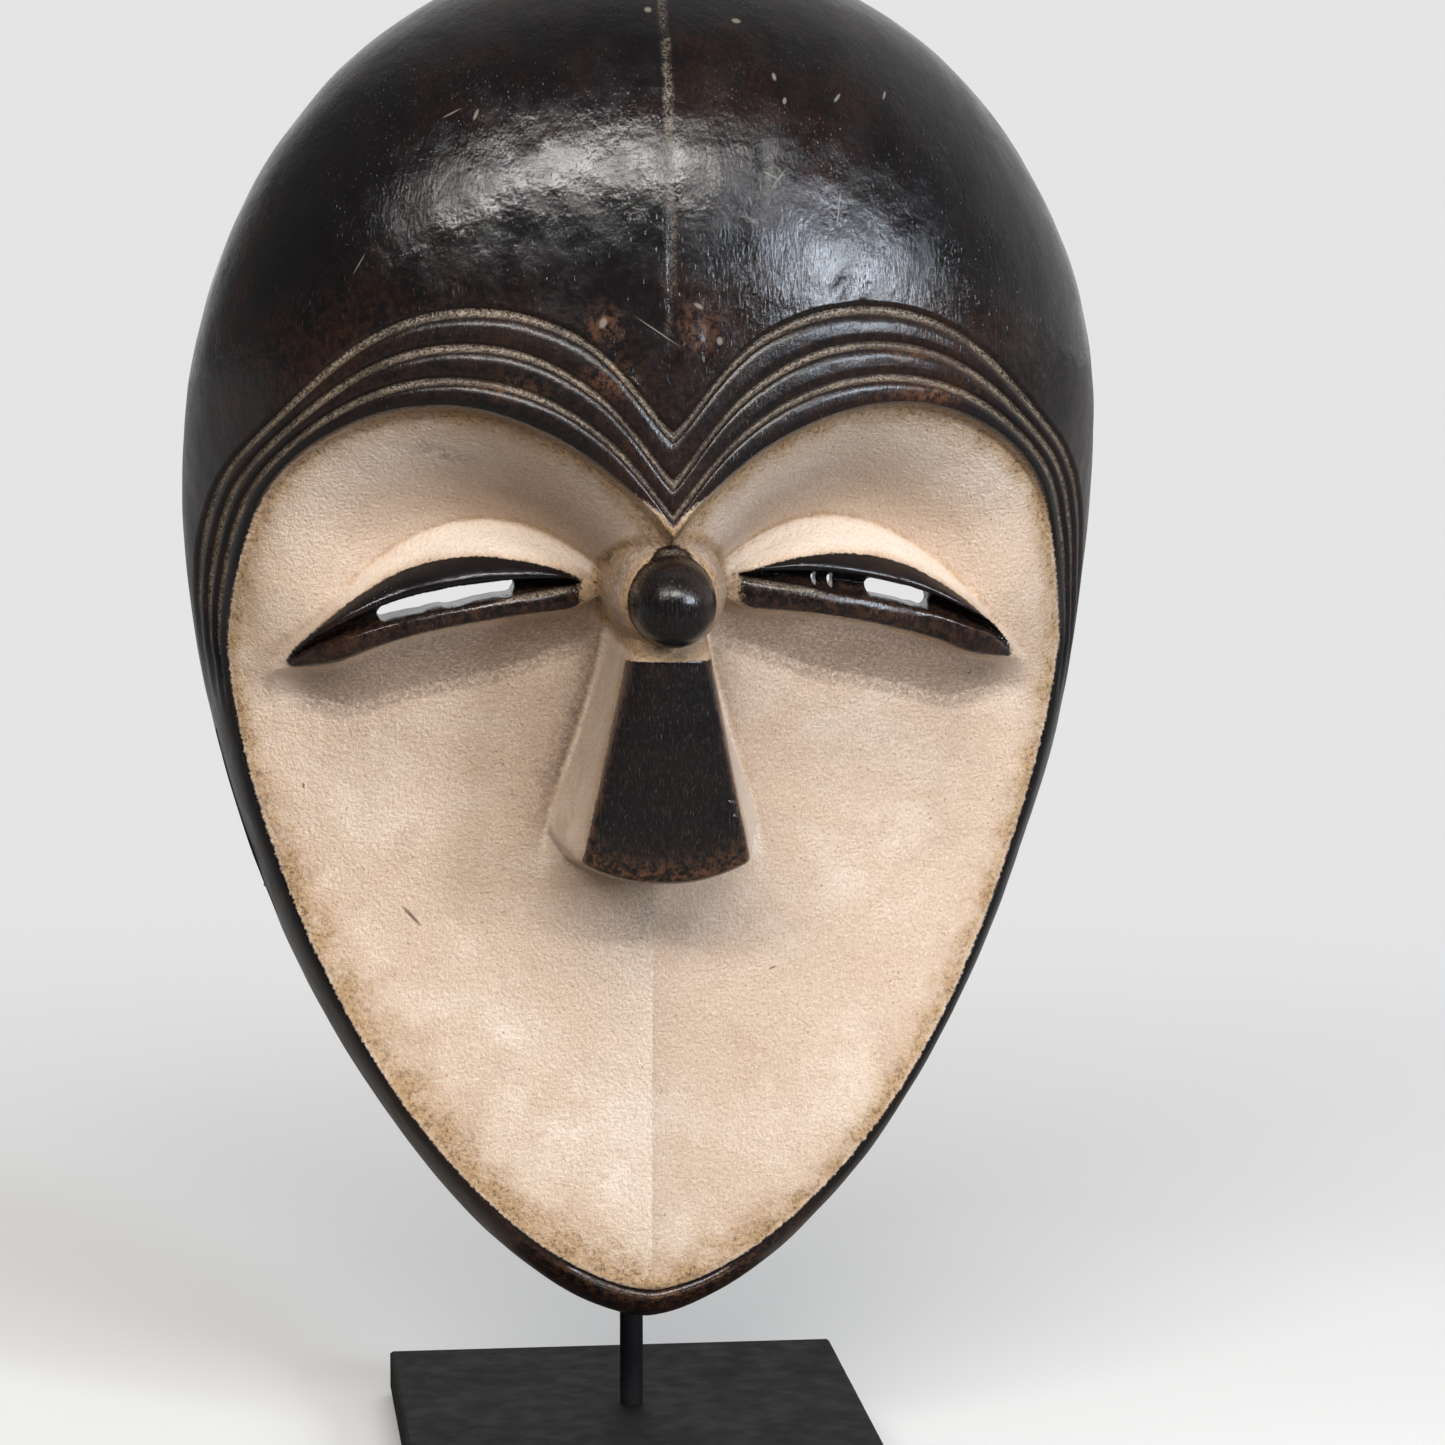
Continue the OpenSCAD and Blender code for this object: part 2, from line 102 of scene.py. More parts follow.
# Worn places of the brow: place across, level and half sizes
WORN = (
    (-38, 239.5, 9, 2.2), (-15, 241.5, 6, 4.0), (62, 237, 12, 2.5), (57, 246.5, 5, 1.5),
    (-16, 254, 4, 4.0), (6, 254, 5, 5.0), (5.4, 9.6, 4, 1.5),
)


# Shape of the carving

def unit(v):
    """A number kept between 0 and 1."""
    return np.clip(v, 0, 1)


def ramp(a, b, v):
    """Smooth step from 0 at a to 1 at b."""
    t = unit((v - a) / (b - a))
    return t * t * (3 - 2 * t)


def soft_max(a, b, width):
    """The larger of two heights, with a fillet of about the given width."""
    blend = unit(0.5 + 0.5 * (a - b) / width)
    return b + (a - b) * blend + width * blend * (1 - blend)


def soft_over(v, width):
    """How far v is above 0, with a rounded corner."""
    return 0.5 * (v + np.sqrt(v * v + width * width))


def bell(v, width):
    """1 at 0, falling off smoothly to both sides."""
    return np.exp(-(v / width) ** 2)


def patch(dx, dz, half_x, half_z):
    """1 in the middle of an ellipse, falling off smoothly all round."""
    return np.exp(-(dx / half_x) ** 2 - (dz / half_z) ** 2)


def fade(v, width):
    """1 up to 0, falling off beyond it."""
    return np.exp(-np.clip(v, 0, None) / width)


def strongest(*values):
    """The largest of several shares, from 0 to 1."""
    return unit(np.maximum.reduce(values))


def in_frame(x, f, z):
    """Draft millimetres across, forward and up from the chin, as a place in the frame."""
    return x * SCALE_X, REAR_Y - f * SCALE_F, CHIN_Z + z * SCALE_Z


def outline_half(z):
    """Half width of the mask at a level."""
    low = unit((WIDEST_Z - z) / WIDEST_Z)
    high = unit((z - WIDEST_Z) / (DRAFT_H - WIDEST_Z))
    below = (1 - low ** 1.82) ** 0.63
    above = (1 - high ** 2.12) ** (1 / 2.12)
    return DRAFT_W / 2 * np.where(z < WIDEST_Z, below, above)


def face_half(z):
    """Half width of the whitened face at a level."""
    low = unit((FACE_TOP_Z - z) / (FACE_TOP_Z - FACE_CHIN_Z))
    return FACE_HALF_W * (1 - low ** 1.6) ** 0.61


def reach(angle, half_width):
    """Distance from the hub to an outline, in each direction."""
    near, far = np.zeros_like(angle), np.full_like(angle, 260.0)
    for _ in range(40):
        middle = (near + far) / 2
        level = HUB_Z + middle * np.sin(angle)
        inside = np.abs(middle * np.cos(angle)) < half_width(level)
        near, far = np.where(inside, middle, near), np.where(inside, far, middle)
    return near


def lift(angle):
    """Degrees above the level of the hub."""
    return np.degrees(np.arcsin(np.clip(np.sin(angle), -1, 1)))


def face_reach(angle):
    """Distance from the hub to the heart-shaped edge of the face."""
    up = lift(angle)
    brow = FACE_HALF_W - BROW_DROP * ramp(BROW_FROM, BROW_TO, up)
    brow = brow + ARCH_RISE * bell(up - ARCH_AT, ARCH_SPAN)
    return np.where(up >= 0, brow, reach(angle, face_half))


def edge_share(angle, face_r):
    """Share of a step along the ray that goes square to the face's edge."""
    up = lift(angle)
    span = BROW_TO - BROW_FROM
    t = unit((up - BROW_FROM) / span)
    slope = BROW_DROP * 6 * t * (1 - t) / math.radians(span)
    return np.where(up < 0, 1.0, face_r / np.hypot(face_r, slope))


def contour_f(z):
    """Depth of the widest contour."""
    crown = unit((z - WIDEST_Z) / (DRAFT_H - WIDEST_Z)) ** 4
    temple = TEMPLE_RISE * ramp(185, 275, z)
    top = (CROWN_F - SIDE_F - TEMPLE_RISE) * crown
    return SIDE_F + temple + top + (CHIN_F - SIDE_F) * ramp(80, 10, z)


def middle_f(z):
    """Depth of the middle line of the dome."""
    t = unit((z - FOREHEAD_Z) / (DRAFT_H - FOREHEAD_Z))
    above = CROWN_F + (DRAFT_D - CROWN_F) * (1 - t ** 2.4) ** (1 / 2.4)
    return np.where(z < FOREHEAD_Z, DRAFT_D - 0.0008 * (FOREHEAD_Z - z) ** 2, above)


def edge_f(z):
    """Depth of the edge of the face."""
    return 44 - 14 * ramp(45, 130, z) + 9 * ramp(145, 195, z)


def ridge_f(z):
    """Depth of the middle ridge of the face."""
    return 44 + 13 * ramp(50, 205, z)


def dome_f(x, z):
    """Depth of the domed forehead."""
    u = unit(np.abs(x) / np.maximum(0.5, outline_half(z)))
    flat = 0.7 - 0.2 * ramp(180, 245, z)
    return contour_f(z) + (middle_f(z) - contour_f(z)) * (1 - u * u) ** flat


def cheek_f(x, z, soft=3.0):
    """Depth of the plain face, which falls off both sides of its middle ridge."""
    u = np.clip((np.hypot(x, soft) - soft) / np.maximum(6, face_half(z)), 0, 1.15)
    return ridge_f(z) - (ridge_f(z) - edge_f(z)) * u ** 1.25


def keel(x, z):
    """Height of the sharp middle ridge below the nose."""
    return 2.0 * fade(np.abs(x), 8.0) * ramp(126, 112, z)


def eye_line(x):
    """Level of the middle of the eye."""
    return EYE_LEVEL - 2.68e-5 * np.abs(x) ** 3


def eye_levels(x):
    """Swell of the eye along its length, heights above its line, and half height of its slit."""
    ax = np.abs(x)
    along = unit((ax - EYE_INNER) / (EYE_OUTER - EYE_INNER))
    swell = np.sin(np.pi * along ** 0.85)
    slit_along = unit((ax - SLIT_INNER) / SLIT_LENGTH)
    return SimpleNamespace(
        swell=swell,
        crease=18.1 * swell + 0.6,
        upper=(6.8 + 0.09 * ax) * swell,
        lower=-(3.6 + 0.022 * ax) * ramp(0, 0.6, swell),
        foot=-(12 + 8 * ramp(10, 45, ax)) * (1 - 0.62 * ramp(70, 94, ax)),
        slit=(SLIT_RISE + 0.7 * np.sign(x)) * ramp(0, 0.4, swell),
        half=SLIT_HALF * np.sin(np.pi * slit_along ** 0.9) ** 0.6 + 0.02,
    )


def eye_relief(x, z):
    """Height of the eye above the plain face: a swell, two rounded lids and a slit between them."""
    e = eye_levels(x)
    v = z - eye_line(x)
    top, bottom = e.slit + e.half, e.slit - e.half
    rise = 1 - unit((v - top) / (e.crease - top)) ** 1.6
    fall = (1 - unit((e.lower - v) / (e.lower - e.foot + 0.01))) ** 1.25
    height = EYE_BULGE * e.swell ** 0.6 * rise * fall
    lid_edge = 0.5 * bell(v - e.upper, 0.7)
    lid_roll = 1.1 * fade(v - top, 0.9) * (v > e.slit)
    across = np.clip((2 * v - bottom - e.lower) / np.maximum(0.2, bottom - e.lower), -1, 1)
    lower_lid = 0.8 * (1 - across ** 2)
    step = 1.6 * ramp(0.4, -1.0, v - e.lower) * fall
    groove = SLIT_DEPTH * np.sqrt(unit(1 - ((v - e.slit) / e.half) ** 2))
    return height + ramp(0.05, 0.5, e.swell) * (lower_lid - lid_edge - lid_roll - step - groove)


def nose_share(z):
    """Share of the way up the nose, going on a little past both ends."""
    return np.clip((z - NOSE_FOOT_Z) / (NOSE_TOP_Z - NOSE_FOOT_Z), -0.3, 1.3)


def nose_half(z):
    """Half width of the flat back of the nose."""
    return NOSE_FOOT_HALF + (NOSE_TOP_HALF - NOSE_FOOT_HALF) * nose_share(z)


def nose_foot(x, z):
    """Level of the curved lower edge of the nose."""
    return 119.5 + 5 * np.clip(np.abs(x) / nose_half(z), 0, 1.3) ** 2


def nose_f(x, z):
    """Depth of the nose: a slightly rounded back with steep flanks and an arched foot."""
    t = nose_share(z)
    half = nose_half(z)
    crown = 1.8 * unit(np.abs(x) / half) ** 2
    back = NOSE_FOOT_F + (NOSE_TOP_F - NOSE_FOOT_F) * t - crown
    steep = 5.4 + 11 * ramp(0.15, 1.1, t)
    flank = steep * soft_over(np.abs(x) - half, 0.7)
    foot = 9.0 * soft_over(nose_foot(x, z) - z, 0.7)
    head = 1.1 * soft_over(z - NOSE_TOP_Z - 0.8, 0.6)
    nicks = sum(bell(z - level, 0.55) for level in NOSE_NICKS)
    return back - flank - foot - head - 0.8 * nicks * ramp(half - 4.5, half - 0.5, x)


def knob_distance(x, z):
    """Distance from the axis of the knob's collar."""
    return np.hypot(x, z - KNOB_Z)


def ball_distance(x, z):
    """Distance from the axis of the knob's ball, which is a little taller than wide."""
    return np.hypot(x - BALL_X, (z - BALL_Z) / BALL_TALL)


def knob_f(x, z):
    """Depth of the ball on its collar."""
    d = ball_distance(x, z)
    bulge = np.sqrt(np.clip(KNOB_R ** 2 - d * d, 0, None))
    ball = np.where(d < KNOB_R, FOREMOST_F - KNOB_R + bulge, FAR_BELOW)
    stalk = unit(knob_distance(x, z) / COLLAR_R)
    collar = np.where(stalk < 1, 74 + 20 * (1 - stalk ** 6) ** 0.7, FAR_BELOW)
    return np.maximum(ball, collar)


def face_f(p):
    """Depth of the hollowed face, with its ledge under the brow, eyes, nose and knob."""
    s = unit((p.face_r - p.r) * p.share / BROW_REACH)
    t = 0.6 * (1 - (1 - s) ** 1.3) + 0.4 * ramp(0, 1, s)
    upper = ramp(-8, 12, p.up)
    plain = cheek_f(p.x, p.z, soft=1.4) + keel(p.x, p.z)
    under_brow = (dome_f(p.x, p.z) - BROW_LEDGE * ramp(5, 25, p.up)) * (1 - t) + plain * t
    face = plain * (1 - upper) + under_brow * upper + eye_relief(p.x, p.z)
    face = soft_max(face, nose_f(p.x, p.z), 1.6)
    return soft_max(face, knob_f(p.x, p.z), 0.8)


def body_f(p):
    """Depth between the edge of the face and the widest contour."""
    share = unit((p.r - p.face_r) / (p.outline_r - p.face_r))
    edge = edge_f(HUB_Z + p.face_r * np.sin(p.angle))
    contour = contour_f(HUB_Z + p.outline_r * np.sin(p.angle))
    side = contour + (edge - contour) * (1 - share ** 1.8) ** 0.7
    upper = ramp(155, 190, p.z)
    return side * (1 - upper) + dome_f(p.x, p.z) * upper


def hollow_f(x, z, dome):
    """Depth of the hollow: dome and face drawn in by the wall, and scooped behind the eyes."""
    plain = cheek_f(x, z) - WALL_T + 1
    scoop = 13 * patch(np.abs(x) - 50, z - EYE_LEVEL + 2, 26, 12)
    return np.minimum(dome, plain + np.maximum(0, dome - plain) * ramp(200, 250, z) + scoop)


def brow_spread(up):
    """Distance from the edge of the face to the outermost brow line, by degrees of lift."""
    return 9.9 + 24 * ramp(30, 72, up) - 10 * ramp(74, 90, up)


def lines_width(up, room):
    """The same distance, kept inside the room up to the outline."""
    return -soft_max(-brow_spread(up), -0.84 * room, 6.0)


def line_half(spread, share):
    """Half width of a brow line, as a share of the outermost line's distance."""
    return np.minimum(LINE_HALF / (spread * share), 0.14)


def brow_shares(up):
    """Places of the three brow lines, as shares of that distance."""
    sides, arches, middle = (0.33, 0.66, 1.0), (0.33, 0.68, 1.0), (0.2, 0.53, 1.0)
    return [
        s + (a - s) * ramp(28, 50, up) + (m - a) * ramp(62, 90, up)
        for s, a, m in zip(sides, arches, middle)
    ]


def brow_part(up):
    """How far the brow lines are there, which run out at the sides."""
    return ramp(-9, 6, up)


# Seeded lattice noise for hand-made unevenness

def lattice(ix, iy, iz, seed):
    """A repeatable number from 0 to 1 for each lattice point."""
    h = ix * 374761393 + iy * 668265263 + iz * 2147483647 + seed * 974634777
    h = (h ^ (h >> 13)) * 1274126177
    return ((h ^ (h >> 16)) & 0xFFFF) / 65535.0


def wander(x, y, z, size, seed):
    """Smooth noise from -1 to 1 with features of the given size."""
    cells = [np.floor(v / size).astype(np.int64) for v in (x, y, z)]
    parts = [ramp(0, 1, v / size - c) for v, c in zip((x, y, z), cells)]
    total = 0.0
    for corner in range(8):
        step = [(corner >> axis) & 1 for axis in range(3)]
        weight = 1.0
        for axis in range(3):
            weight = weight * (parts[axis] if step[axis] else 1 - parts[axis])
        total = total + weight * lattice(*(c + s for c, s in zip(cells, step)), seed)
    return 2 * total - 1


# The grid of the carved shell

def spread_directions():
    """Directions round the hub from straight down, closer together at the eyes and the keel."""
    fine = np.linspace(-math.pi / 2, 1.5 * math.pi, 40001)
    up = lift(fine)
    density = 1 + 1.1 * bell(up - 15, 26) + 3 * bell(up + 90, 2)
    steps = (density[1:] + density[:-1]) / 2
    total = np.concatenate([[0], np.cumsum(steps)])
    wanted = np.arange(DIRECTIONS) / DIRECTIONS * total[-1]
    return np.interp(wanted, total, fine)


def runs(*spans):
    """Joined evenly spaced runs, each (from, to, count) without its end."""
    return np.concatenate([np.linspace(a, b, n, endpoint=False) for a, b, n in spans])


def face_radii(face_r):
    """Rings from the hub to just inside the edge of the face, even near the nose and the eyes."""
    zone = 60.0
    inner_edge = 0.6 * face_r / (1 + (0.6 * face_r / zone) ** 4) ** 0.25
    inner = runs((0.7, 46, 58), (46, 54, 22), (54, zone, 7)) / zone
    outer = runs((0, 1, 66))
    span = face_r - EDGE_ROUND - inner_edge
    return [inner_edge * s for s in inner] + [inner_edge + span * s for s in outer]


def body_radii(angle, face_r, outline_r):
    """Rings from the edge of the face over its brow lines to the widest contour."""
    up = lift(angle)
    share = edge_share(angle, face_r)
    room = outline_r - face_r
    spread = lines_width(up, room)
    half = line_half(spread, share)
    stops = [(-EDGE_ROUND / spread, 0), (0.8 / spread, 9)]
    for line in brow_shares(up):
        stops += [(line - half, 3), (line, 4), (line + half, 4)]
    lines_end = np.minimum(spread * (1 + 1.6 * half), 0.95 * room) / spread
    stops += [(lines_end, 2)]
    rings = []
    for (before, _), (after, count) in zip(stops, stops[1:]):
        rings += [face_r + spread * (before + (after - before) * i / count) for i in range(count)]
    start = face_r + spread * lines_end
    turns = np.sin(np.linspace(0, math.pi / 2, 40))
    return rings + [start + (outline_r - start) * t for t in turns]


def front_points(angle, r, face_r, outline_r):
    """The points of the front, and how they lie to the edge of the face, eyes, nose and knob."""
    x, z = r * np.cos(angle), HUB_Z + r * np.sin(angle)
    p = SimpleNamespace(angle=angle, r=r, face_r=face_r, outline_r=outline_r, x=x, z=z)
    p.ax, p.up = np.abs(x), lift(angle)
    p.share = edge_share(angle, face_r)
    p.away = (r - face_r) * p.share
    p.eye, p.v = eye_levels(x), z - eye_line(x)
    p.flank = p.ax - nose_half(z)
    flank_width = 7.2 - 4.2 * ramp(NOSE_FOOT_Z, NOSE_TOP_Z, z)
    p.beyond = p.flank - flank_width
    p.on_nose = ramp(NOSE_FOOT_Z - 4, NOSE_FOOT_Z, z) * ramp(NOSE_TOP_Z + 6, NOSE_TOP_Z, z)
    p.above_foot = z - nose_foot(x, z)
    p.ball, p.collar = ball_distance(x, z), knob_distance(x, z)
    return p


def brow_groove(p, shift=0.0):
    """How deep a point, or one shifted outwards, lies in a brow line, from 0 to 1."""
    spread = lines_width(p.up, p.outline_r - p.face_r)
    half = line_half(spread, p.share)
    depth = 0.0
    for line in brow_shares(p.up):
        u = np.clip(((p.r + shift - p.face_r) / spread - line) / half, -1, 1)
        depth = depth + (1 - u * u) ** 1.5
    return depth * brow_part(p.up)


def brow_ridge(p):
    """How far a point lies up on a rounded ridge between the brow lines, from 0 to 1."""
    place = (p.r - p.face_r) / lines_width(p.up, p.outline_r - p.face_r)
    height, before = 0.0, 0.0
    for line in brow_shares(p.up):
        t = unit((place - before) / (line - before))
        height = height + 4 * t * (1 - t)
        before = line
    return height * brow_part(p.up)


def rear_rings(angle, outline_r):
    """Rings of (x, f, z) from the widest contour round the rear rim to the hollow's edge."""
    contour = contour_f(HUB_Z + outline_r * np.sin(angle))
    inset = contour ** 2 / 115
    rim_r = outline_r - inset
    quarter = np.linspace(0, math.pi / 2, 5)
    rings = []

    def add(r, f):
        rings.append((r * np.cos(angle), f + 0 * angle, HUB_Z + r * np.sin(angle)))

    for share in (0.9, 0.78, 0.66, 0.54, 0.42, 0.3, 0.2, 0.12):
        add(outline_r - inset * (1 - share) ** 2, contour * share)
    for turn in quarter:
        add(rim_r - RIM_ROUND * (1 - math.cos(turn)), RIM_ROUND * (1 - math.sin(turn)))
    for across in (0.3, 0.55, 0.8):
        add(rim_r - RIM_T * across, 0.0)
    for turn in quarter:
        add(rim_r - RIM_T + RIM_ROUND * (1 - math.sin(turn)), RIM_ROUND * (1 - math.cos(turn)))
    for share in (0.3, 0.5, 0.7, 0.9):
        wall = RIM_T + (WALL_T - RIM_T) * share
        add(outline_r - inset * (1 - share) ** 2 - wall, contour * INNER_SHARE * share)
    return rings


def hollow_rings(angle, outline_r):
    """Rings of (x, f, z) from the hollow's edge to its middle."""
    grow = outline_r / (outline_r - WALL_T)
    rings = []
    for i in range(HOLLOW_RINGS, 0, -1):
        share = math.sin(math.pi / 2 * i / HOLLOW_RINGS)
        r = (outline_r - WALL_T) * share
        x, z = r * np.cos(angle), HUB_Z + r * np.sin(angle)
        dome = INNER_SHARE * dome_f(grow * x, HUB_Z + grow * (z - HUB_Z))
        rings.append((x, hollow_f(x, z, dome), z))
    return rings


def adze_marks(x, z):
    """Shallow overlapping scoops left by the tool inside the hollow."""
    column = x / ADZE_WIDE + 0.35 * wander(x, 0 * x, z, 30, 11)
    row = z / ADZE_TALL + 0.5 * lattice(np.floor(column).astype(np.int64), 0, 0, 12)
    u = column - np.floor(column) - 0.5
    v = row - np.floor(row) - 0.5
    return 2.3 * (u * u + 0.6 * v * v) - 0.38


def grid_normals(points):
    """Unit normals of a closed ring grid, of shape (rings, directions, 3)."""
    along = np.gradient(points, axis=0)
    round_ = np.roll(points, -1, axis=1) - np.roll(points, 1, axis=1)
    normal = np.cross(round_, along)
    return normal / np.maximum(1e-9, np.linalg.norm(normal, axis=2, keepdims=True))


def carved_grid():
    """Points of the shell in draft millimetres as (x, f, z), and the masks that its finish uses."""
    angle = spread_directions()
    outline_r = reach(angle, outline_half)
    face_r = face_reach(angle)
    r = np.array(face_radii(face_r) + body_radii(angle, face_r, outline_r))
    p = front_points(*np.broadcast_arrays(angle, r, face_r, outline_r))
    over = ramp(-2.0, 0.7, p.away)
    front = np.array([p.x, face_f(p) * (1 - over) + body_f(p) * over, p.z])
    behind = [np.array(rings(angle, outline_r)) for rings in (rear_rings, hollow_rings)]
    points = np.concatenate([front.transpose(1, 2, 0)] + [b.transpose(0, 2, 1) for b in behind])
    hollow = len(points) - HOLLOW_RINGS
    rest = np.zeros((len(points) - len(r), DIRECTIONS))
    masks = {name: np.concatenate([mask, rest]) for name, mask in front_masks(p).items()}
    masks["hollow"] = np.zeros(points.shape[:2])
    masks["hollow"][hollow - RAW_RIM_RINGS:] = 1.0
    detail = np.concatenate([front_detail(p), rest])
    detail[hollow:] = adze_marks(points[hollow:, :, 0], points[hollow:, :, 2])
    axes = [points[..., k] for k in range(3)]
    detail += sum(height * wander(*axes, size, seed) for height, size, seed in UNEVEN)
    points = points + grid_normals(points) * detail[..., None]
    points[..., 1] = np.maximum(points[..., 1], 0)
    return points, masks


def front_detail(p):
    """Displacement of the front along its normal: brow lines, chin line, seam and dents."""
    grooves = 1.2 * brow_groove(p) - 0.3 * brow_ridge(p)
    chin = 0.9 * bell(p.away - 0.4, 0.7) * ramp(26, 18, p.ax) * ramp(60, 40, p.z)
    seam = 0.3 * bell(p.x, 1.3) * ramp(238, 252, p.z)
    dents = sum(patch(p.x - x, p.z - z, size, 1.6 * size) for x, z, size in DENTS)
    return -(grooves + chin + seam + 0.7 * dents * (p.away > 0))


# Masks of the finish

def front_masks(p):
    """Where the front is whitened, stained, dusty, worn or thinly greyed, and where painted shade
    and painted light lie on it.
    """
    e, v = p.eye, p.v
    p.lid = ramp(-1.1, 1.0, v - e.lower) * ramp(1.1, -1.0, v - e.upper)
    p.lid = p.lid * ramp(13, 25, p.ax) * ramp(92, 86, p.ax)
    back = ramp(0.7, -0.6, p.flank) * ramp(-0.7, 0.6, p.above_foot)
    back = back * ramp(0.8, -0.5, p.z - NOSE_TOP_Z - 0.6)
    knob = ramp(KNOB_R + 1.3, KNOB_R - 0.3, p.ball)
    p.stem = ramp(1.25, 0.8, np.hypot((p.x - BALL_X) / 6.5, (p.z - KNOB_Z - 3) / 9.3))
    inside = ramp(1.2, -2.4, p.away - 1.9 * ramp(74, 87, p.up))
    brow = ramp(-1, 1, p.away) * ramp(4, -2, p.away - brow_spread(p.up) * p.share)
    return {
        "pale": inside * (1 - strongest(p.lid, back, knob, p.stem)),
        "stain": stain_mask(p) * inside,
        "shade_and_thin_clay": shade_and_thin_clay_mask(p) * inside,
        "shade_and_grime": shade_and_grime_mask(p) * inside,
        "specks": 0.2 * strongest(back, knob),
        "thick_clay_and_light": thick_clay_and_light_mask(p) * inside,
        "matt": brow * brow_part(p.up),
        "dust": dust_and_highlight_mask(p),
        "wear": wear_mask(p),
    }


def stain_mask(p):
    """Brown stain along the edge, lids, nose and ridge, and round the knob."""
    e, v = p.eye, p.v
    width = 5.4 + 1.2 * ramp(150, 90, p.z) + 5.0 * ramp(150, 60, p.z) * ramp(10, -20, p.x)
    edge = fade(-(p.away + 0.5), width + 3.0 * ramp(45, 20, p.z))
    lids = 0.5 * fade(np.maximum(e.lower - v, v - e.upper), 2.4) * ramp(0.1, 0.4, e.swell)
    crease = 0.5 * bell(v - e.crease - 0.8, 1.3) * ramp(0.05, 0.4, e.swell)
    flank_top = 0.62 * fade(p.flank, 1.2) * p.on_nose
    flank_foot = 0.4 * fade(p.beyond, 2.5) * ramp(-1.5, 0, p.beyond) * p.on_nose
    left_flank = 0.36 * (p.x < 0) * ramp(0.5, 2, p.flank) * ramp(0.5, -1, p.beyond) * p.on_nose
    collar_foot = 0.7 * bell(p.collar - COLLAR_R - 0.6, 2.2)
    collar = 0.75 * ramp(KNOB_R + 4.0, KNOB_R + 0.5, p.ball)
    bridge = 0.72 * patch(p.x, p.z - 206, 8, 6)
    ridge = 0.3 * bell(p.x - 0.5, 0.6) * ramp(124, 116, p.z)
    return strongest(
        edge, lids, crease, flank_top, flank_foot, left_flank, collar_foot, collar, bridge, ridge
    )


def shade_and_thin_clay_mask(p):
    """Thin grey clay with painted shade above the eyes, painted shade below the eyes, on the upper
    cheeks, beside the nose and right of the ridge, and a painted shadow under the nose.
    """
    e, v = p.eye, p.v
    # Thin clay with painted shade in the recess under the brow, darker on the left and near the
    # bridge
    above_eye = 0.1 + (0.36 - 0.2 * (p.x > 0)) * ramp(75, 20, p.ax)
    above_eye = above_eye * ramp(-0.6, 1.4, v - e.crease) * ramp(8, 16, p.up) * ramp(6, 16, p.ax)
    above_eye = above_eye * (0.45 + 0.55 * ramp(-8, -20, p.away))
    # Painted shade on the slope under the lower lid and on the upper cheek below the eye
    below_eye = ramp(0, -3, v - e.lower) * ramp(-3, 0, v - e.foot + 2) * ramp(0.1, 0.4, e.swell)
    upper_cheek = 0.34 * ramp(126, 150, p.z) * ramp(1, -3, v - e.foot) * ramp(92, 70, p.ax)
    # Painted shade on the cheek beside the nose, stronger on the left
    beside_nose = (0.55 + 0.35 * (p.x < 0)) * fade(p.beyond, 6.0) * ramp(-0.5, 1, p.beyond)
    beside_nose = beside_nose * ramp(114, 150, p.z) * ramp(182, 170, p.z)
    # A painted shadow cast under the nose, and painted shade on the right side of the ridge
    under_nose = 0.56 * patch(p.x + 3, p.z - 106, 28, 15)
    ridge = 0.3 * fade(p.x, 9) * (p.x > 0) * ramp(124, 114, p.z)
    return strongest(above_eye, 0.85 * below_eye, under_nose, upper_cheek, beside_nose, ridge)


def shade_and_grime_mask(p):
    """Painted shade with some brown grime: beside the nose, round the collar, in the eyes' corners,
    at the brow's point and under the brow's edge.
    """
    # Painted shade in the recesses, darkest beside the nose and under the brow's edge
    by_nose = fade(p.beyond, 4.5) * ramp(-0.5, 1, p.beyond) * ramp(186, 174, p.z)
    left, right = 0.8 * ramp(110, 146, p.z), 0.6 * ramp(144, 166, p.z)
    by_nose = by_nose * np.where(p.x < 0, left, right)
    collar = 0.6 * ramp(KNOB_R, KNOB_R + 1.5, p.ball) * ramp(COLLAR_R + 3, COLLAR_R - 0.5, p.collar)
    corners = 0.65 * patch(p.ax - 17.5, p.v - 1, 4.5, 5)
    brow_point = 0.7 * patch(p.x, p.z - 205, 7, 4)
    under_brow = 0.8 * fade(-p.away, 2.5 + 2.5 * ramp(20, -30, p.x))
    under_brow = under_brow * ramp(26, 44, p.up) * ramp(86, 74, p.up)
    return strongest(by_nose, collar, corners, brow_point, under_brow)


def thick_clay_and_light_mask(p):
    """Thick white clay and painted light on the band over the lids, and painted light under the
    brow, left of the ridge and on the nose's flanks.
    """
    e, v = p.eye, p.v
    # Thick clay with painted light on the upward band above the upper lid
    band = ramp(-0.5, 2.5, v - e.upper) * ramp(0.6, -1.4, v - e.crease) * ramp(0.02, 0.3, e.swell)
    # Painted light under the brow, on the left side of the ridge and on the nose's flanks
    under_brow = 0.3 * ramp(0, -4, p.away) * ramp(-24, -12, p.away) * ramp(12, 25, p.up)
    ridge = 0.7 * fade(-p.x, 10) * (p.x <= 0) * ramp(118, 104, p.z)
    flank = 0.7 * ramp(0.5, 2, p.flank) * ramp(1, -1, p.beyond) * p.on_nose
    return strongest(band, under_brow, ridge, flank)


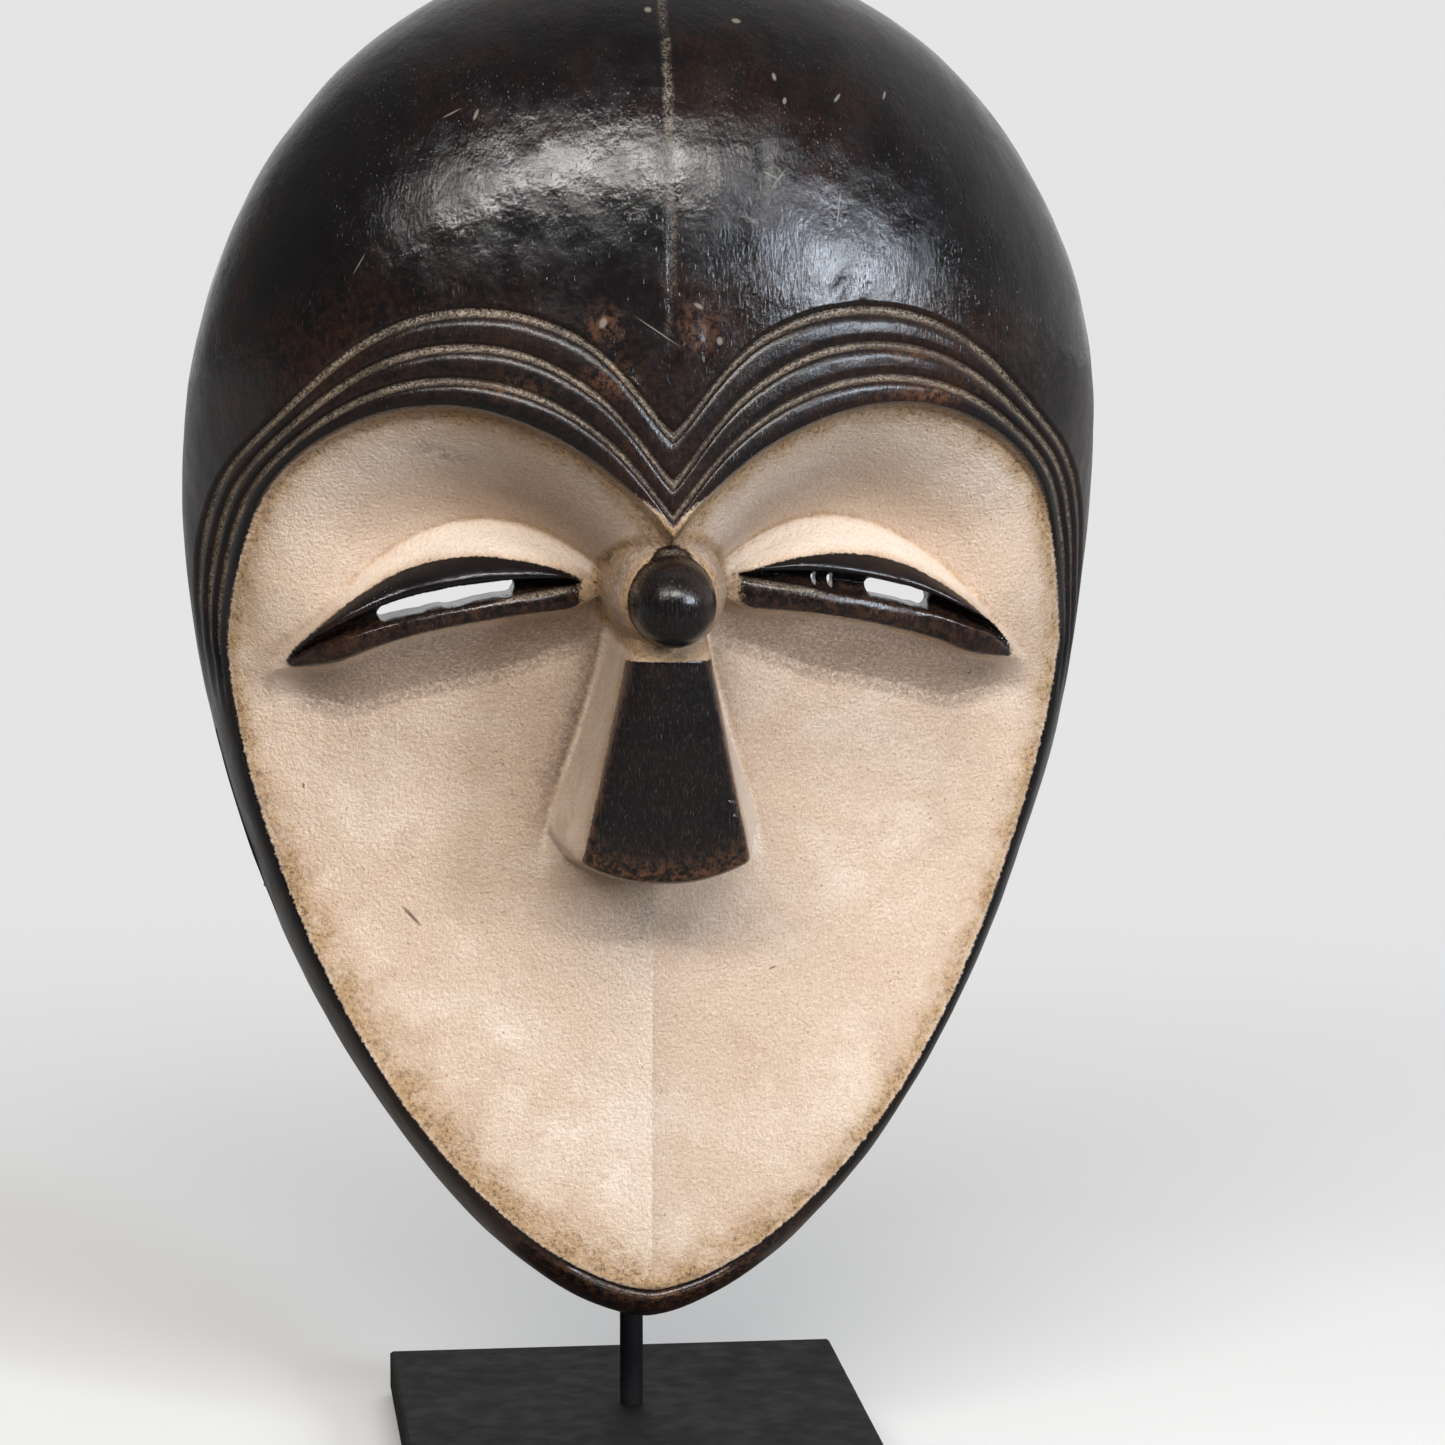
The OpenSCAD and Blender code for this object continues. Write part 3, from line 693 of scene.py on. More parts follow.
def dust_and_highlight_mask(p):
    """Pale dust in the brow lines, the chin line and the corners of the carving, and a painted
    highlight along the foot of the nose.
    """
    e = p.eye
    chin_line = 0.7 * bell(p.away - 1.6, 0.8) * ramp(28, 20, p.ax) * ramp(60, 40, p.z)
    slit_rim = bell(p.v - e.slit + e.half + 0.4, 1.0) * p.lid * ramp(48, 34, p.ax)
    inner_end = 0.75 * p.lid * ramp(24, 13, p.ax)
    stem = 0.8 * p.stem * ramp(KNOB_R - 1.5, KNOB_R + 1.0, p.ball)
    # A painted highlight along the lower edge of the nose, where that edge catches light
    foot_highlight = 0.75 * bell(p.above_foot + 0.2, 0.45) * ramp(1, -1, p.flank)
    lines = [brow_groove(p), 0.85 * brow_groove(p, 0.6)]
    return strongest(*lines, chin_line, slit_rim, inner_end, stem, foot_highlight)


def wear_mask(p):
    """Wood rubbed brown on the brow, the edges of the nose, the chin and the lower lids."""
    brow = 0.12 * ramp(0.5, 3, p.away) * ramp(34, 18, p.away) * ramp(12, 40, p.up)
    spots = [
        patch(p.x - x, p.z - z, half_x, half_z) * (p.away > 0) for x, z, half_x, half_z in WORN
    ]
    nose = bell(p.flank, 1.1) * p.on_nose
    foot = bell(p.above_foot, 5.5) * ramp(1, -1, p.flank)
    chin = 0.6 * ramp(40, 14, p.z) * ramp(0, 1, p.away)
    lid = 0.3 * p.lid * (p.v < p.eye.slit)
    return strongest(brow, *spots, nose, foot, chin, lid)


# Building the shell

def grid_mesh(name, points, masks):
    """A closed mesh of the ring grid, with a point at each pole and its masks as attributes."""
    rings, count = points.shape[:2]
    poles = [points[0].mean(axis=0), points[-1].mean(axis=0)]
    flat = np.concatenate([points.reshape(-1, 3), poles])
    place = np.stack(in_frame(*flat.T), axis=1)
    index = np.arange(rings * count).reshape(rings, count)
    after = np.roll(index, -1, axis=1)
    quads = np.stack([index[1:], after[1:], after[:-1], index[:-1]], axis=2).reshape(-1, 4)
    start = np.stack([np.full(count, rings * count), index[0], after[0]], axis=1)
    end = np.stack([np.full(count, rings * count + 1), after[-1], index[-1]], axis=1)
    mesh = bpy.data.meshes.new(name)
    mesh.from_pydata(place.tolist(), [], quads.tolist() + start.tolist() + end.tolist())
    for mask_name, mask in masks.items():
        values = np.concatenate([mask.reshape(-1), [mask[0].mean(), mask[-1].mean()]])
        layer = mesh.attributes.new(mask_name, "FLOAT", "POINT")
        layer.data.foreach_set("value", values.astype(np.float32))
    mesh.update()
    return mesh


def link(name, data):
    """A new object in the scene, of a mesh, a light or a camera."""
    ob = bpy.data.objects.new(name, data)
    bpy.context.scene.collection.objects.link(ob)
    return ob


def slit_cutter(side, start, end, seed):
    """A closed prism along the view whose outline is one see-through stretch of a slit."""
    count = 40
    x = np.linspace(start, end, count)
    e = eye_levels(side * x)
    middle = eye_line(x) + e.slit
    ends = unit(np.minimum(x - start, end - x) / 1.2) ** 0.5
    rough = wander(x, 0 * x, 0 * x + seed, 2.2, 21)
    half = e.half * (0.88 + 0.14 * rough) * (0.2 + 0.8 * ends)
    outline = list(zip(x, middle + half)) + list(zip(x[::-1], (middle - half)[::-1]))
    front, back = FOREMOST_F + 8, 20.0
    verts = [in_frame(side * px, depth, pz) for depth in (front, back) for px, pz in outline]
    n = len(outline)
    sides = [(i, (i + 1) % n, n + (i + 1) % n, n + i) for i in range(n)]
    caps = [tuple(reversed(range(n))), tuple(range(n, 2 * n))]
    faces = sides + caps if side > 0 else [tuple(reversed(face)) for face in sides + caps]
    mesh = bpy.data.meshes.new("slit_cutter")
    mesh.from_pydata(verts, [], faces)
    mesh.update()
    return link("slit_cutter", mesh)


def cut_slits(ob):
    """Cuts the see-through stretches out of the shell."""
    for number, (side, start, end) in enumerate(SLITS):
        cutter = slit_cutter(side, start, end, 10 * number)
        cut = ob.modifiers.new("slit", "BOOLEAN")
        cut.operation, cut.solver, cut.object = "DIFFERENCE", "EXACT", cutter
        shown = ob.evaluated_get(bpy.context.evaluated_depsgraph_get())
        mesh = bpy.data.meshes.new_from_object(shown)
        ob.modifiers.clear()
        ob.data = mesh
        bpy.data.objects.remove(cutter)


def carve_mask():
    """The carved mask, which stands for its plain solid."""
    points, masks = carved_grid()
    ob = link("carved_mask", grid_mesh("carved_mask", points, masks))
    cut_slits(ob)
    ob.data.shade_smooth()
    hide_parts("mask_shell")
    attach(ob, "mask")
    return ob


# Materials

class Tree:
    """Short calls for building a node tree."""

    def __init__(self, tree):
        self.tree = tree

    def add(self, kind, **settings):
        node = self.tree.nodes.new(kind)
        for key, value in settings.items():
            setattr(node, key, value)
        return node

    def put(self, socket, value):
        """Links an output to a socket, or sets a constant there."""
        if isinstance(value, bpy.types.NodeSocket):
            self.tree.links.new(value, socket)
        elif isinstance(value, tuple) and len(value) == 3 and socket.type == "RGBA":
            socket.default_value = (*value, 1.0)
        else:
            socket.default_value = value

    def fill(self, node, **values):
        """Links or sets named sockets of a node, with _ for a space, and gives the node."""
        for name, value in values.items():
            self.put(node.inputs[name.replace("_", " ")], value)
        return node

    def math(self, operation, a, b=0.0):
        node = self.add("ShaderNodeMath", operation=operation)
        self.put(node.inputs[0], a)
        self.put(node.inputs[1], b)
        return node.outputs[0]

    def largest(self, *values):
        """The largest of several numbers."""
        return reduce(lambda a, b: self.math("MAXIMUM", a, b), values)

    def product(self, *values):
        """The product of several numbers."""
        return reduce(lambda a, b: self.math("MULTIPLY", a, b), values)

    def length(self, vector):
        """The length of a vector."""
        node = self.add("ShaderNodeVectorMath", operation="LENGTH")
        self.put(node.inputs[0], vector)
        return node.outputs["Value"]

    def between(self, value, low, high, out_low=0.0, out_high=1.0):
        """Smooth step of a value, from out_low at low to out_high at high."""
        node = self.add("ShaderNodeMapRange", interpolation_type="SMOOTHSTEP")
        for socket, number in zip(node.inputs[1:5], (low, high, out_low, out_high)):
            socket.default_value = number
        self.put(node.inputs[0], value)
        return node.outputs[0]

    def mixed(self, kind, share, a, b):
        """a, going to b as share goes from 0 to 1, as numbers, vectors or colours."""
        first, out = {"FLOAT": (2, 0), "VECTOR": (4, 1), "RGBA": (6, 2)}[kind]
        node = self.add("ShaderNodeMix", data_type=kind)
        for place, value in ((0, share), (first, a), (first + 1, b)):
            self.put(node.inputs[place], value)
        return node.outputs[out]

    def mix(self, share, a, b):
        """A mixed colour."""
        return self.mixed("RGBA", share, a, b)

    def blend(self, share, a, b):
        """A mixed number."""
        return self.mixed("FLOAT", share, a, b)

    def centred(self, value, span):
        """A number from 0 to 1, moved evenly round 0 and spread over a span."""
        return self.product(self.math("SUBTRACT", value, 0.5), span)

    def backdrop(self, diffuse, mirrored, seen):
        """Values for light on things, for what polished faces show and for what is seen."""
        path = self.add("ShaderNodeLightPath")
        value = self.blend(path.outputs["Is Glossy Ray"], diffuse, mirrored)
        direct = self.largest(path.outputs["Is Camera Ray"], path.outputs["Is Transmission Ray"])
        return self.blend(direct, value, seen)


class Surface(Tree):
    """The node tree of one material, with its coordinates in millimetres."""

    def __init__(self, name):
        self.material = bpy.data.materials.new(name)
        self.material.use_nodes = True
        super().__init__(self.material.node_tree)
        self.shader = self.tree.nodes["Principled BSDF"]
        place = self.add("ShaderNodeTexCoord").outputs["Object"]
        to_mm = self.fill(self.add("ShaderNodeVectorMath", operation="SCALE"), Scale=MM)
        self.put(to_mm.inputs[0], place)
        self.mm = to_mm.outputs[0]

    def mask(self, name):
        """A mask of the carved surface."""
        return self.add("ShaderNodeAttribute", attribute_name=name).outputs["Fac"]

    def axis(self, name):
        """One coordinate in millimetres."""
        parts = self.add("ShaderNodeSeparateXYZ")
        self.put(parts.inputs[0], self.mm)
        return parts.outputs[name]

    def turned(self, turn, scale, centre=(0, 0, 0)):
        """Coordinates for a texture or mark, turned by degrees in the plane of the front."""
        node = self.add("ShaderNodeMapping", vector_type="TEXTURE")
        self.fill(node, Vector=self.mm, Location=centre, Scale=tuple(scale))
        return self.fill(node, Rotation=(0, math.radians(turn), 0)).outputs[0]

    def noise(
        self, size, detail=4.0, roughness=0.55, stretch=(1, 1, 1), distortion=0.0, turn=0.0
    ):
        """Noise from 0 to 1 with features of a size in millimetres, longer along some axes."""
        node = self.add("ShaderNodeTexNoise")
        self.fill(node, Vector=self.turned(turn, (size * s for s in stretch)), Scale=1.0)
        self.fill(node, Detail=detail, Roughness=roughness, Distortion=distortion)
        return node.outputs["Fac"]

    def cells(self, size, stretch=(1, 1, 1), turn=0.0):
        """Distance to the nearest of scattered points in spacings, and that point's number."""
        node = self.add("ShaderNodeTexVoronoi")
        self.fill(node, Vector=self.turned(turn, (size * s for s in stretch)), Scale=1.0)
        return node.outputs["Distance"], node.outputs["Color"]

    def spot(self, x, z, half_x, half_z, turn=0.0, soft=0.6):
        """1 on an ellipse of the front, given in draft millimetres, falling to 0 at its edge."""
        across, _, level = in_frame(x, 0.0, z)
        centre = (MM * across, 0.0, MM * level)
        place = self.turned(turn, (half_x, EVERY_DEPTH, half_z), centre)
        return self.between(self.length(place), 1.0, 1.0 - soft)

    def spots(self, places):
        """The union of several such ellipses."""
        return self.largest(*(self.spot(*place) for place in places))

    def coat(self, share, tint):
        """Lays a tint over the colours so far."""
        self.color = self.mix(share, self.color, tint)

    def bump(self, height, depth, normal=None):
        """A bump of a depth in millimetres."""
        node = self.fill(self.add("ShaderNodeBump"), Distance=depth / MM, Height=height)
        if normal is not None:
            self.fill(node, Normal=normal)
        return node.outputs[0]

    def finish(self, color, roughness, normal=None, **constants):
        """Links colour, roughness and normal to the shader and sets its other sockets."""
        self.fill(self.shader, Base_Color=color, Roughness=roughness, **constants)
        if normal is not None:
            self.fill(self.shader, Normal=normal)
        return self.material


# Colours of the carving
BLACK_WOOD = (0.0054, 0.0045, 0.0050)
BROWN_WOOD = (0.0250, 0.0100, 0.0066)
WORN_WOOD = (0.120, 0.053, 0.026)
RAW_WOOD = (0.130, 0.070, 0.036)
RAW_WOOD_DARK = (0.048, 0.025, 0.014)
FLECK = (0.23, 0.20, 0.16)
DUST = (0.295, 0.232, 0.170)
CLAY = (0.660, 0.490, 0.365)
CLAY_WHITE = (0.85, 0.725, 0.605)
CLAY_PINK = (0.585, 0.415, 0.318)
CLAY_GRAIN = (0.430, 0.285, 0.195)
OCHRE = (0.46, 0.285, 0.135)
UMBER = (0.080, 0.043, 0.022)
GRIME = (0.055, 0.036, 0.025)
# Brown of the painted shade and grime in the recesses
SHADE_GRIME = (0.105, 0.066, 0.044)
# Thin grey clay, also used as painted shade
SHADED_THIN_CLAY = (0.31, 0.228, 0.172)
SMOKE = (0.075, 0.068, 0.066)

# Marks of the front: place across, level, half sizes, turn in degrees and, for two, softness
CHIPS = (
    (-44.5, 302.7, 0.5, 1.8, 25), (-3.5, 327, 1.1, 0.8, 0), (17.3, 324.4, 1.4, 0.7, 10),
    (25.5, 311.4, 0.6, 1.2, -15), (27.7, 305.8, 0.6, 1.0, 10), (40.7, 306.4, 0.5, 1.6, 40),
    (52.7, 306.9, 0.4, 1.3, 20), (6.0, 258.7, 1.5, 0.6, 30), (-16.3, 254.8, 1.1, 1.6, 20),
    (10.9, 250.5, 0.9, 1.2, 0),
)
SCRATCHES = (
    (-3.6, 252.8, 0.22, 7.6, -56), (25.4, 287.7, 0.3, 3.4, 38), (24.0, 288.5, 0.25, 2.6, -62),
    (-50, 303, 0.25, 3.0, 62), (40, 281, 0.2, 4.0, 8), (-72, 268, 0.2, 3.5, 30),
)
DRIPS = (
    (-80.8, 151, 0.8, 8.5, 0), (-74.7, 152, 0.6, 6.0, 2), (-68, 151, 0.9, 7.0, 0),
    (-62, 153, 0.5, 5.0, 0), (65.3, 147, 0.5, 9.5, 77), (78, 141, 0.5, 5.0, 60),
    (-53.5, 65, 0.5, 10.5, 88),
)
WHITE_PATCHES = (
    (-22.7, 52.1, 8, 6, 0), (-10.3, 38.9, 7, 9, 0), (-20, 24, 10, 5, 0),
    (-78.8, 114.7, 4, 3, 0), (-36, 76, 6, 4, 20),
)
NICKS = (
    (-59, 105.9, 0.6, 4.2, -43), (30, 92, 0.3, 1.4, 70), (-85, 138, 0.4, 1.0, 0),
    (79, 165, 0.4, 0.9, 30),
)
SMUDGE, SMEAR = (-53, 222.8, 13, 3.4, 15, 0.9), (68, 134, 11, 2.2, 0, 0.9)


def dark_wood(n):
    """Dark polished wood: brown patches, worn places, upright flecks, a dusty seam and grooves, and
    a painted highlight along the foot of the nose.
    """
    patches = n.noise(30, detail=5, roughness=0.6)
    fibre = n.noise(0.8, roughness=0.7, stretch=(1, 1, 6))
    brown = n.product(n.between(patches, 0.45, 0.72), n.between(fibre, 0.3, 0.62), 0.85)
    n.color = BLACK_WOOD
    n.coat(brown, BROWN_WOOD)
    rubbed = n.between(n.noise(2.0, detail=6, roughness=0.78), 0.42, 0.62)
    n.coat(n.product(n.mask("wear"), rubbed, 0.9), WORN_WOOD)
    fleck, kind = n.cells(0.85, stretch=(1, 1, 6.5), turn=4)
    area = n.between(n.noise(14, detail=3), 0.46, 0.70, 0.0, 0.45)
    area = n.largest(area, n.mask("specks"))
    flecks = n.product(n.between(fleck, 0.21, 0.09), n.math("GREATER_THAN", kind, 0.52), area)
    fine = n.between(n.noise(0.42, detail=2, roughness=0.6, stretch=(1, 1, 3)), 0.62, 0.74)
    hairs = n.noise(0.4, roughness=0.75, stretch=(1, 1, 14), turn=-2)
    hairs = n.between(hairs, 0.50, 0.74)
    strokes = n.between(n.noise(0.5, detail=2, stretch=(1, 1, 34), turn=-38), 0.70, 0.80)
    marks = n.largest(n.spots(CHIPS), n.product(n.spots(SCRATCHES), 0.8))
    light = n.largest(
        n.product(flecks, 0.62), n.product(fine, area, 0.42),
        n.product(hairs, n.mask("specks"), 0.55), n.product(strokes, 0.16), n.product(marks, 0.6),
    )
    n.coat(light, FLECK)
    grit = n.between(n.noise(0.6, roughness=0.8), 0.44, 0.58, 0.05, 1.0)
    drift = n.between(n.noise(17, roughness=0.6), 0.32, 0.62, 0.42, 1.0)
    sway = n.centred(n.noise(12, detail=3), 2.2)
    off_seam = n.math("ABSOLUTE", n.math("ADD", n.axis("X"), sway))
    broken = n.between(n.noise(4, detail=5, roughness=0.75), 0.40, 0.60, 0.12, 0.6)
    seam = n.product(n.between(off_seam, 1.8, 0.0), n.between(n.axis("Z"), 290, 325), broken)
    # Dust in the grooves and the seam, and a painted highlight along the foot of the nose
    dusty = n.product(n.largest(n.between(n.mask("dust"), 0.54, 0.92), seam), grit, drift)
    n.coat(dusty, DUST)
    polish = n.between(n.noise(8, roughness=0.6), 0.3, 0.7, 0.13, 0.26)
    polish = n.blend(n.mask("matt"), polish, 0.27)
    polish = n.blend(n.largest(dusty, light), polish, 0.8)
    bump = n.bump(n.noise(7.0), 0.32, n.bump(fibre, 0.10))
    return n.color, polish, n.bump(n.between(fleck, 0.05, 0.22), 0.04, bump), patches


def raw_wood(n):
    """Raw wood of the hollow, with its upright grain."""
    rings = n.noise(2.2, detail=5, roughness=0.65, stretch=(1, 1, 14))
    return n.mix(n.between(rings, 0.35, 0.66), RAW_WOOD_DARK, RAW_WOOD)


def white_clay(n):
    """Granular white clay, stained along its edges and greyed where it is thin, with painted shade
    and painted light laid over it.
    """
    cloud = n.noise(24, detail=6, roughness=0.62)
    n.color = CLAY
    n.coat(n.between(cloud, 0.42, 0.70, 0.0, 0.5), CLAY_WHITE)
    pink = n.between(n.noise(13, detail=5, roughness=0.6, distortion=0.4), 0.5, 0.76)
    n.coat(n.product(pink, 0.7), CLAY_PINK)
    # Thick white clay and painted light: the band over the lids, under the brow, left of the ridge
    # and on the nose's flanks
    n.coat(n.product(n.mask("thick_clay_and_light"), 0.88), CLAY_WHITE)
    grains = n.noise(0.6, detail=3, roughness=0.75, stretch=(1, 1, 1.4))
    n.coat(n.between(grains, 0.50, 0.70, 0.0, 0.5), CLAY_GRAIN)
    n.coat(n.between(grains, 0.46, 0.30, 0.0, 0.6), CLAY_WHITE)
    flaky = n.between(n.noise(3.0, detail=5, roughness=0.75), 0.40, 0.60)
    white = n.largest(n.spots(WHITE_PATCHES), n.spots(DRIPS))
    n.coat(n.product(white, flaky, 0.6), CLAY_WHITE)
    # Thin grey clay and painted shade: above and below the eyes, beside and under the nose, right
    # of the ridge
    thin = n.between(n.noise(0.9, roughness=0.8), 0.34, 0.62, 0.30, 1.15)
    n.coat(n.product(n.mask("shade_and_thin_clay"), thin), SHADED_THIN_CLAY)
    # Painted shade with brown grime beside the nose, round the collar, in the eyes' corners and
    # under the brow
    shade_grime_grit = n.between(n.noise(1.6, detail=5, roughness=0.8), 0.34, 0.60, 0.45, 1.2)
    n.coat(n.product(n.mask("shade_and_grime"), shade_grime_grit), SHADE_GRIME)
    smoky = n.between(n.noise(2.4, detail=5, roughness=0.7), 0.38, 0.6)
    n.coat(n.product(n.spot(*SMUDGE), smoky, 0.5), SMOKE)
    blotch = n.noise(6.5, detail=6, roughness=0.68)
    stain = n.product(n.mask("stain"), n.between(blotch, 0.28, 0.70, 0.6, 1.25))
    n.coat(n.between(stain, 0.12, 0.90, 0.0, 0.9), OCHRE)
    n.coat(n.between(stain, 0.82, 1.25), UMBER)
    gritty = n.between(n.noise(1.1, detail=5, roughness=0.8), 0.47, 0.62)
    n.coat(n.product(n.between(stain, 0.28, 0.80), gritty, 0.72), GRIME)
    n.coat(n.product(n.spot(*SMEAR), flaky, 0.35), OCHRE)
    speck, kind = n.cells(3.2)
    specks = n.product(n.between(speck, 0.13, 0.05), n.math("GREATER_THAN", kind, 0.62), 0.5)
    n.coat(n.largest(specks, n.product(n.spots(NICKS), 0.8)), UMBER)
    lumps = n.product(n.noise(5.0, detail=2), 0.4)
    return n.color, n.bump(n.math("ADD", n.noise(1.0, roughness=0.7), lumps), 0.95)


def mask_material():
    """Polished wood outside, raw wood in the hollow and ragged white clay on the face."""
    n = Surface("carved_mask")
    wood, polish, wood_bump, patches = dark_wood(n)
    hollow = n.math("ADD", n.mask("hollow"), n.product(patches, 0.4))
    hollow = n.between(hollow, 0.45, 0.8)
    wood = n.mix(hollow, wood, raw_wood(n))
    polish = n.blend(hollow, polish, 0.72)
    clay, clay_bump = white_clay(n)
    ragged = n.centred(n.noise(1.0, detail=5, roughness=0.75), 0.95)
    pale = n.between(n.math("ADD", n.mask("pale"), ragged), 0.36, 0.62)
    color = n.mix(pale, wood, clay)
    roughness = n.blend(pale, polish, 0.9)
    bump = n.mixed("VECTOR", pale, wood_bump, clay_bump)
    return n.finish(color, roughness, bump, Specular_IOR_Level=0.40)


def paint_material():
    """Matt black paint with a fine orange-peel and a little grey dust."""
    n = Surface("black_paint")
    tone = n.between(n.noise(18, detail=5), 0.35, 0.7)
    color = n.mix(tone, (0.0042, 0.0042, 0.0050), (0.0080, 0.0080, 0.0088))
    dust = n.between(n.noise(0.5, detail=3, roughness=0.7), 0.66, 0.80)
    color = n.mix(n.product(dust, 0.25), color, (0.14, 0.14, 0.14))
    roughness = n.between(n.noise(7), 0.3, 0.7, 0.62, 0.76)
    peel = n.bump(n.noise(0.6, detail=2), 0.03)
    return n.finish(color, roughness, peel, Specular_IOR_Level=0.15)


def felt_material():
    """Pressed dark felt."""
    n = Surface("pressed_felt")
    hairs = n.noise(0.5, detail=5, roughness=0.8, distortion=1.5)
    color = n.mix(n.between(hairs, 0.3, 0.7), (0.012, 0.014, 0.012), (0.045, 0.048, 0.044))
    return n.finish(color, 0.95, n.bump(hairs, 0.35), Sheen_Weight=0.4, Sheen_Roughness=0.5)


def steel_material():
    """Turned bare steel with fine marks."""
    n = Surface("bare_steel")
    marks = n.noise(0.35, roughness=0.7, stretch=(6, 1, 1))
    color = n.mix(n.between(marks, 0.3, 0.7), (0.36, 0.365, 0.37), (0.55, 0.555, 0.56))
    roughness = n.between(marks, 0.25, 0.75, 0.25, 0.42)
    return n.finish(color, roughness, n.bump(marks, 0.02), Metallic=1.0)


def rubber_material():
    """Dull black rubber with a bloom."""
    n = Surface("black_rubber")
    bloom = n.between(n.noise(2.5, detail=5, roughness=0.7), 0.4, 0.75)
    color = n.mix(bloom, (0.010, 0.010, 0.010), (0.034, 0.033, 0.032))
    return n.finish(color, n.blend(bloom, 0.62, 0.82), n.bump(n.noise(0.4, detail=2), 0.04))


def brass_material():
    """Turned brass, browned in places."""
    n = Surface("turned_brass")
    tarnish = n.between(n.noise(4, detail=5, roughness=0.65), 0.42, 0.7)
    color = n.mix(tarnish, (0.66, 0.43, 0.15), (0.30, 0.17, 0.06))
    roughness = n.blend(tarnish, 0.22, 0.45)
    return n.finish(color, roughness, n.bump(n.noise(0.3, detail=3), 0.015), Metallic=1.0)


def dress(nodes, material):
    """Gives carried-over nodes a material."""
    for name in nodes:
        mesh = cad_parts[name].data
        mesh.materials.clear()
        mesh.materials.append(material)


# Stage, light and camera
BACKGROUND = (0.78, 0.78, 0.785)
SURROUND_LIGHT, FLOOR_LIGHT = 0.39, 0.15
ROOM_DARKNESS = 0.9
LIT_POINT = (0, -0.09, 0.28)
FLOOR_HALF = 6.0


def floor_material():
    """A pale floor that goes over into the background."""
    n = Surface("pale_floor")
    tone = n.between(n.noise(400, detail=3), 0.3, 0.7)
    pale = n.mix(tone, (0.84, 0.835, 0.825), (0.88, 0.875, 0.865))
    color = n.mix(n.backdrop(0.0, 0.0, 1.0), (0.22, 0.20, 0.18), pale)
    n.finish(color, 0.8, Specular_IOR_Level=0.1)
    far = n.between(n.length(n.mm), 200, 900)
    behind = n.between(n.axis("Y"), -700, 100, 1 - ROOM_DARKNESS, 0.5)
    glow = n.add("ShaderNodeEmission")
    n.fill(glow, Color=BACKGROUND, Strength=n.backdrop(FLOOR_LIGHT, behind, 1.0))
    both = n.add("ShaderNodeMixShader")
    for socket, value in zip(both.inputs, (far, n.shader.outputs[0], glow.outputs[0])):
        n.put(socket, value)
    n.fill(n.tree.nodes["Material Output"], Surface=both.outputs[0])
    return n.material


def make_stage():
    """A wide pale floor."""
    mesh = bpy.data.meshes.new("floor")
    corners = [(FLOOR_HALF * x, FLOOR_HALF * y, 0) for x, y in ((-1, -1), (1, -1), (1, 1), (-1, 1))]
    mesh.from_pydata(corners, [], [(0, 1, 2, 3)])
    floor = link("floor", mesh)
    mesh.materials.append(floor_material())


def area_light(name, azimuth, elevation, distance, size, power, color):
    """A soft box in a direction from the front of the mask, turned to it."""
    az, el = math.radians(azimuth), math.radians(elevation)
    away = np.array((math.sin(az) * math.cos(el), -math.cos(az) * math.cos(el), math.sin(el)))
    data = bpy.data.lights.new(name, "AREA")
    data.shape = "RECTANGLE"
    data.size, data.size_y = size
    data.energy, data.color = power, color
    ob = link(name, data)
    ob.location = np.array(LIT_POINT) + distance * away
    ob.rotation_euler = (math.pi / 2 - el, 0, az)
    ob.visible_camera = False
    return ob


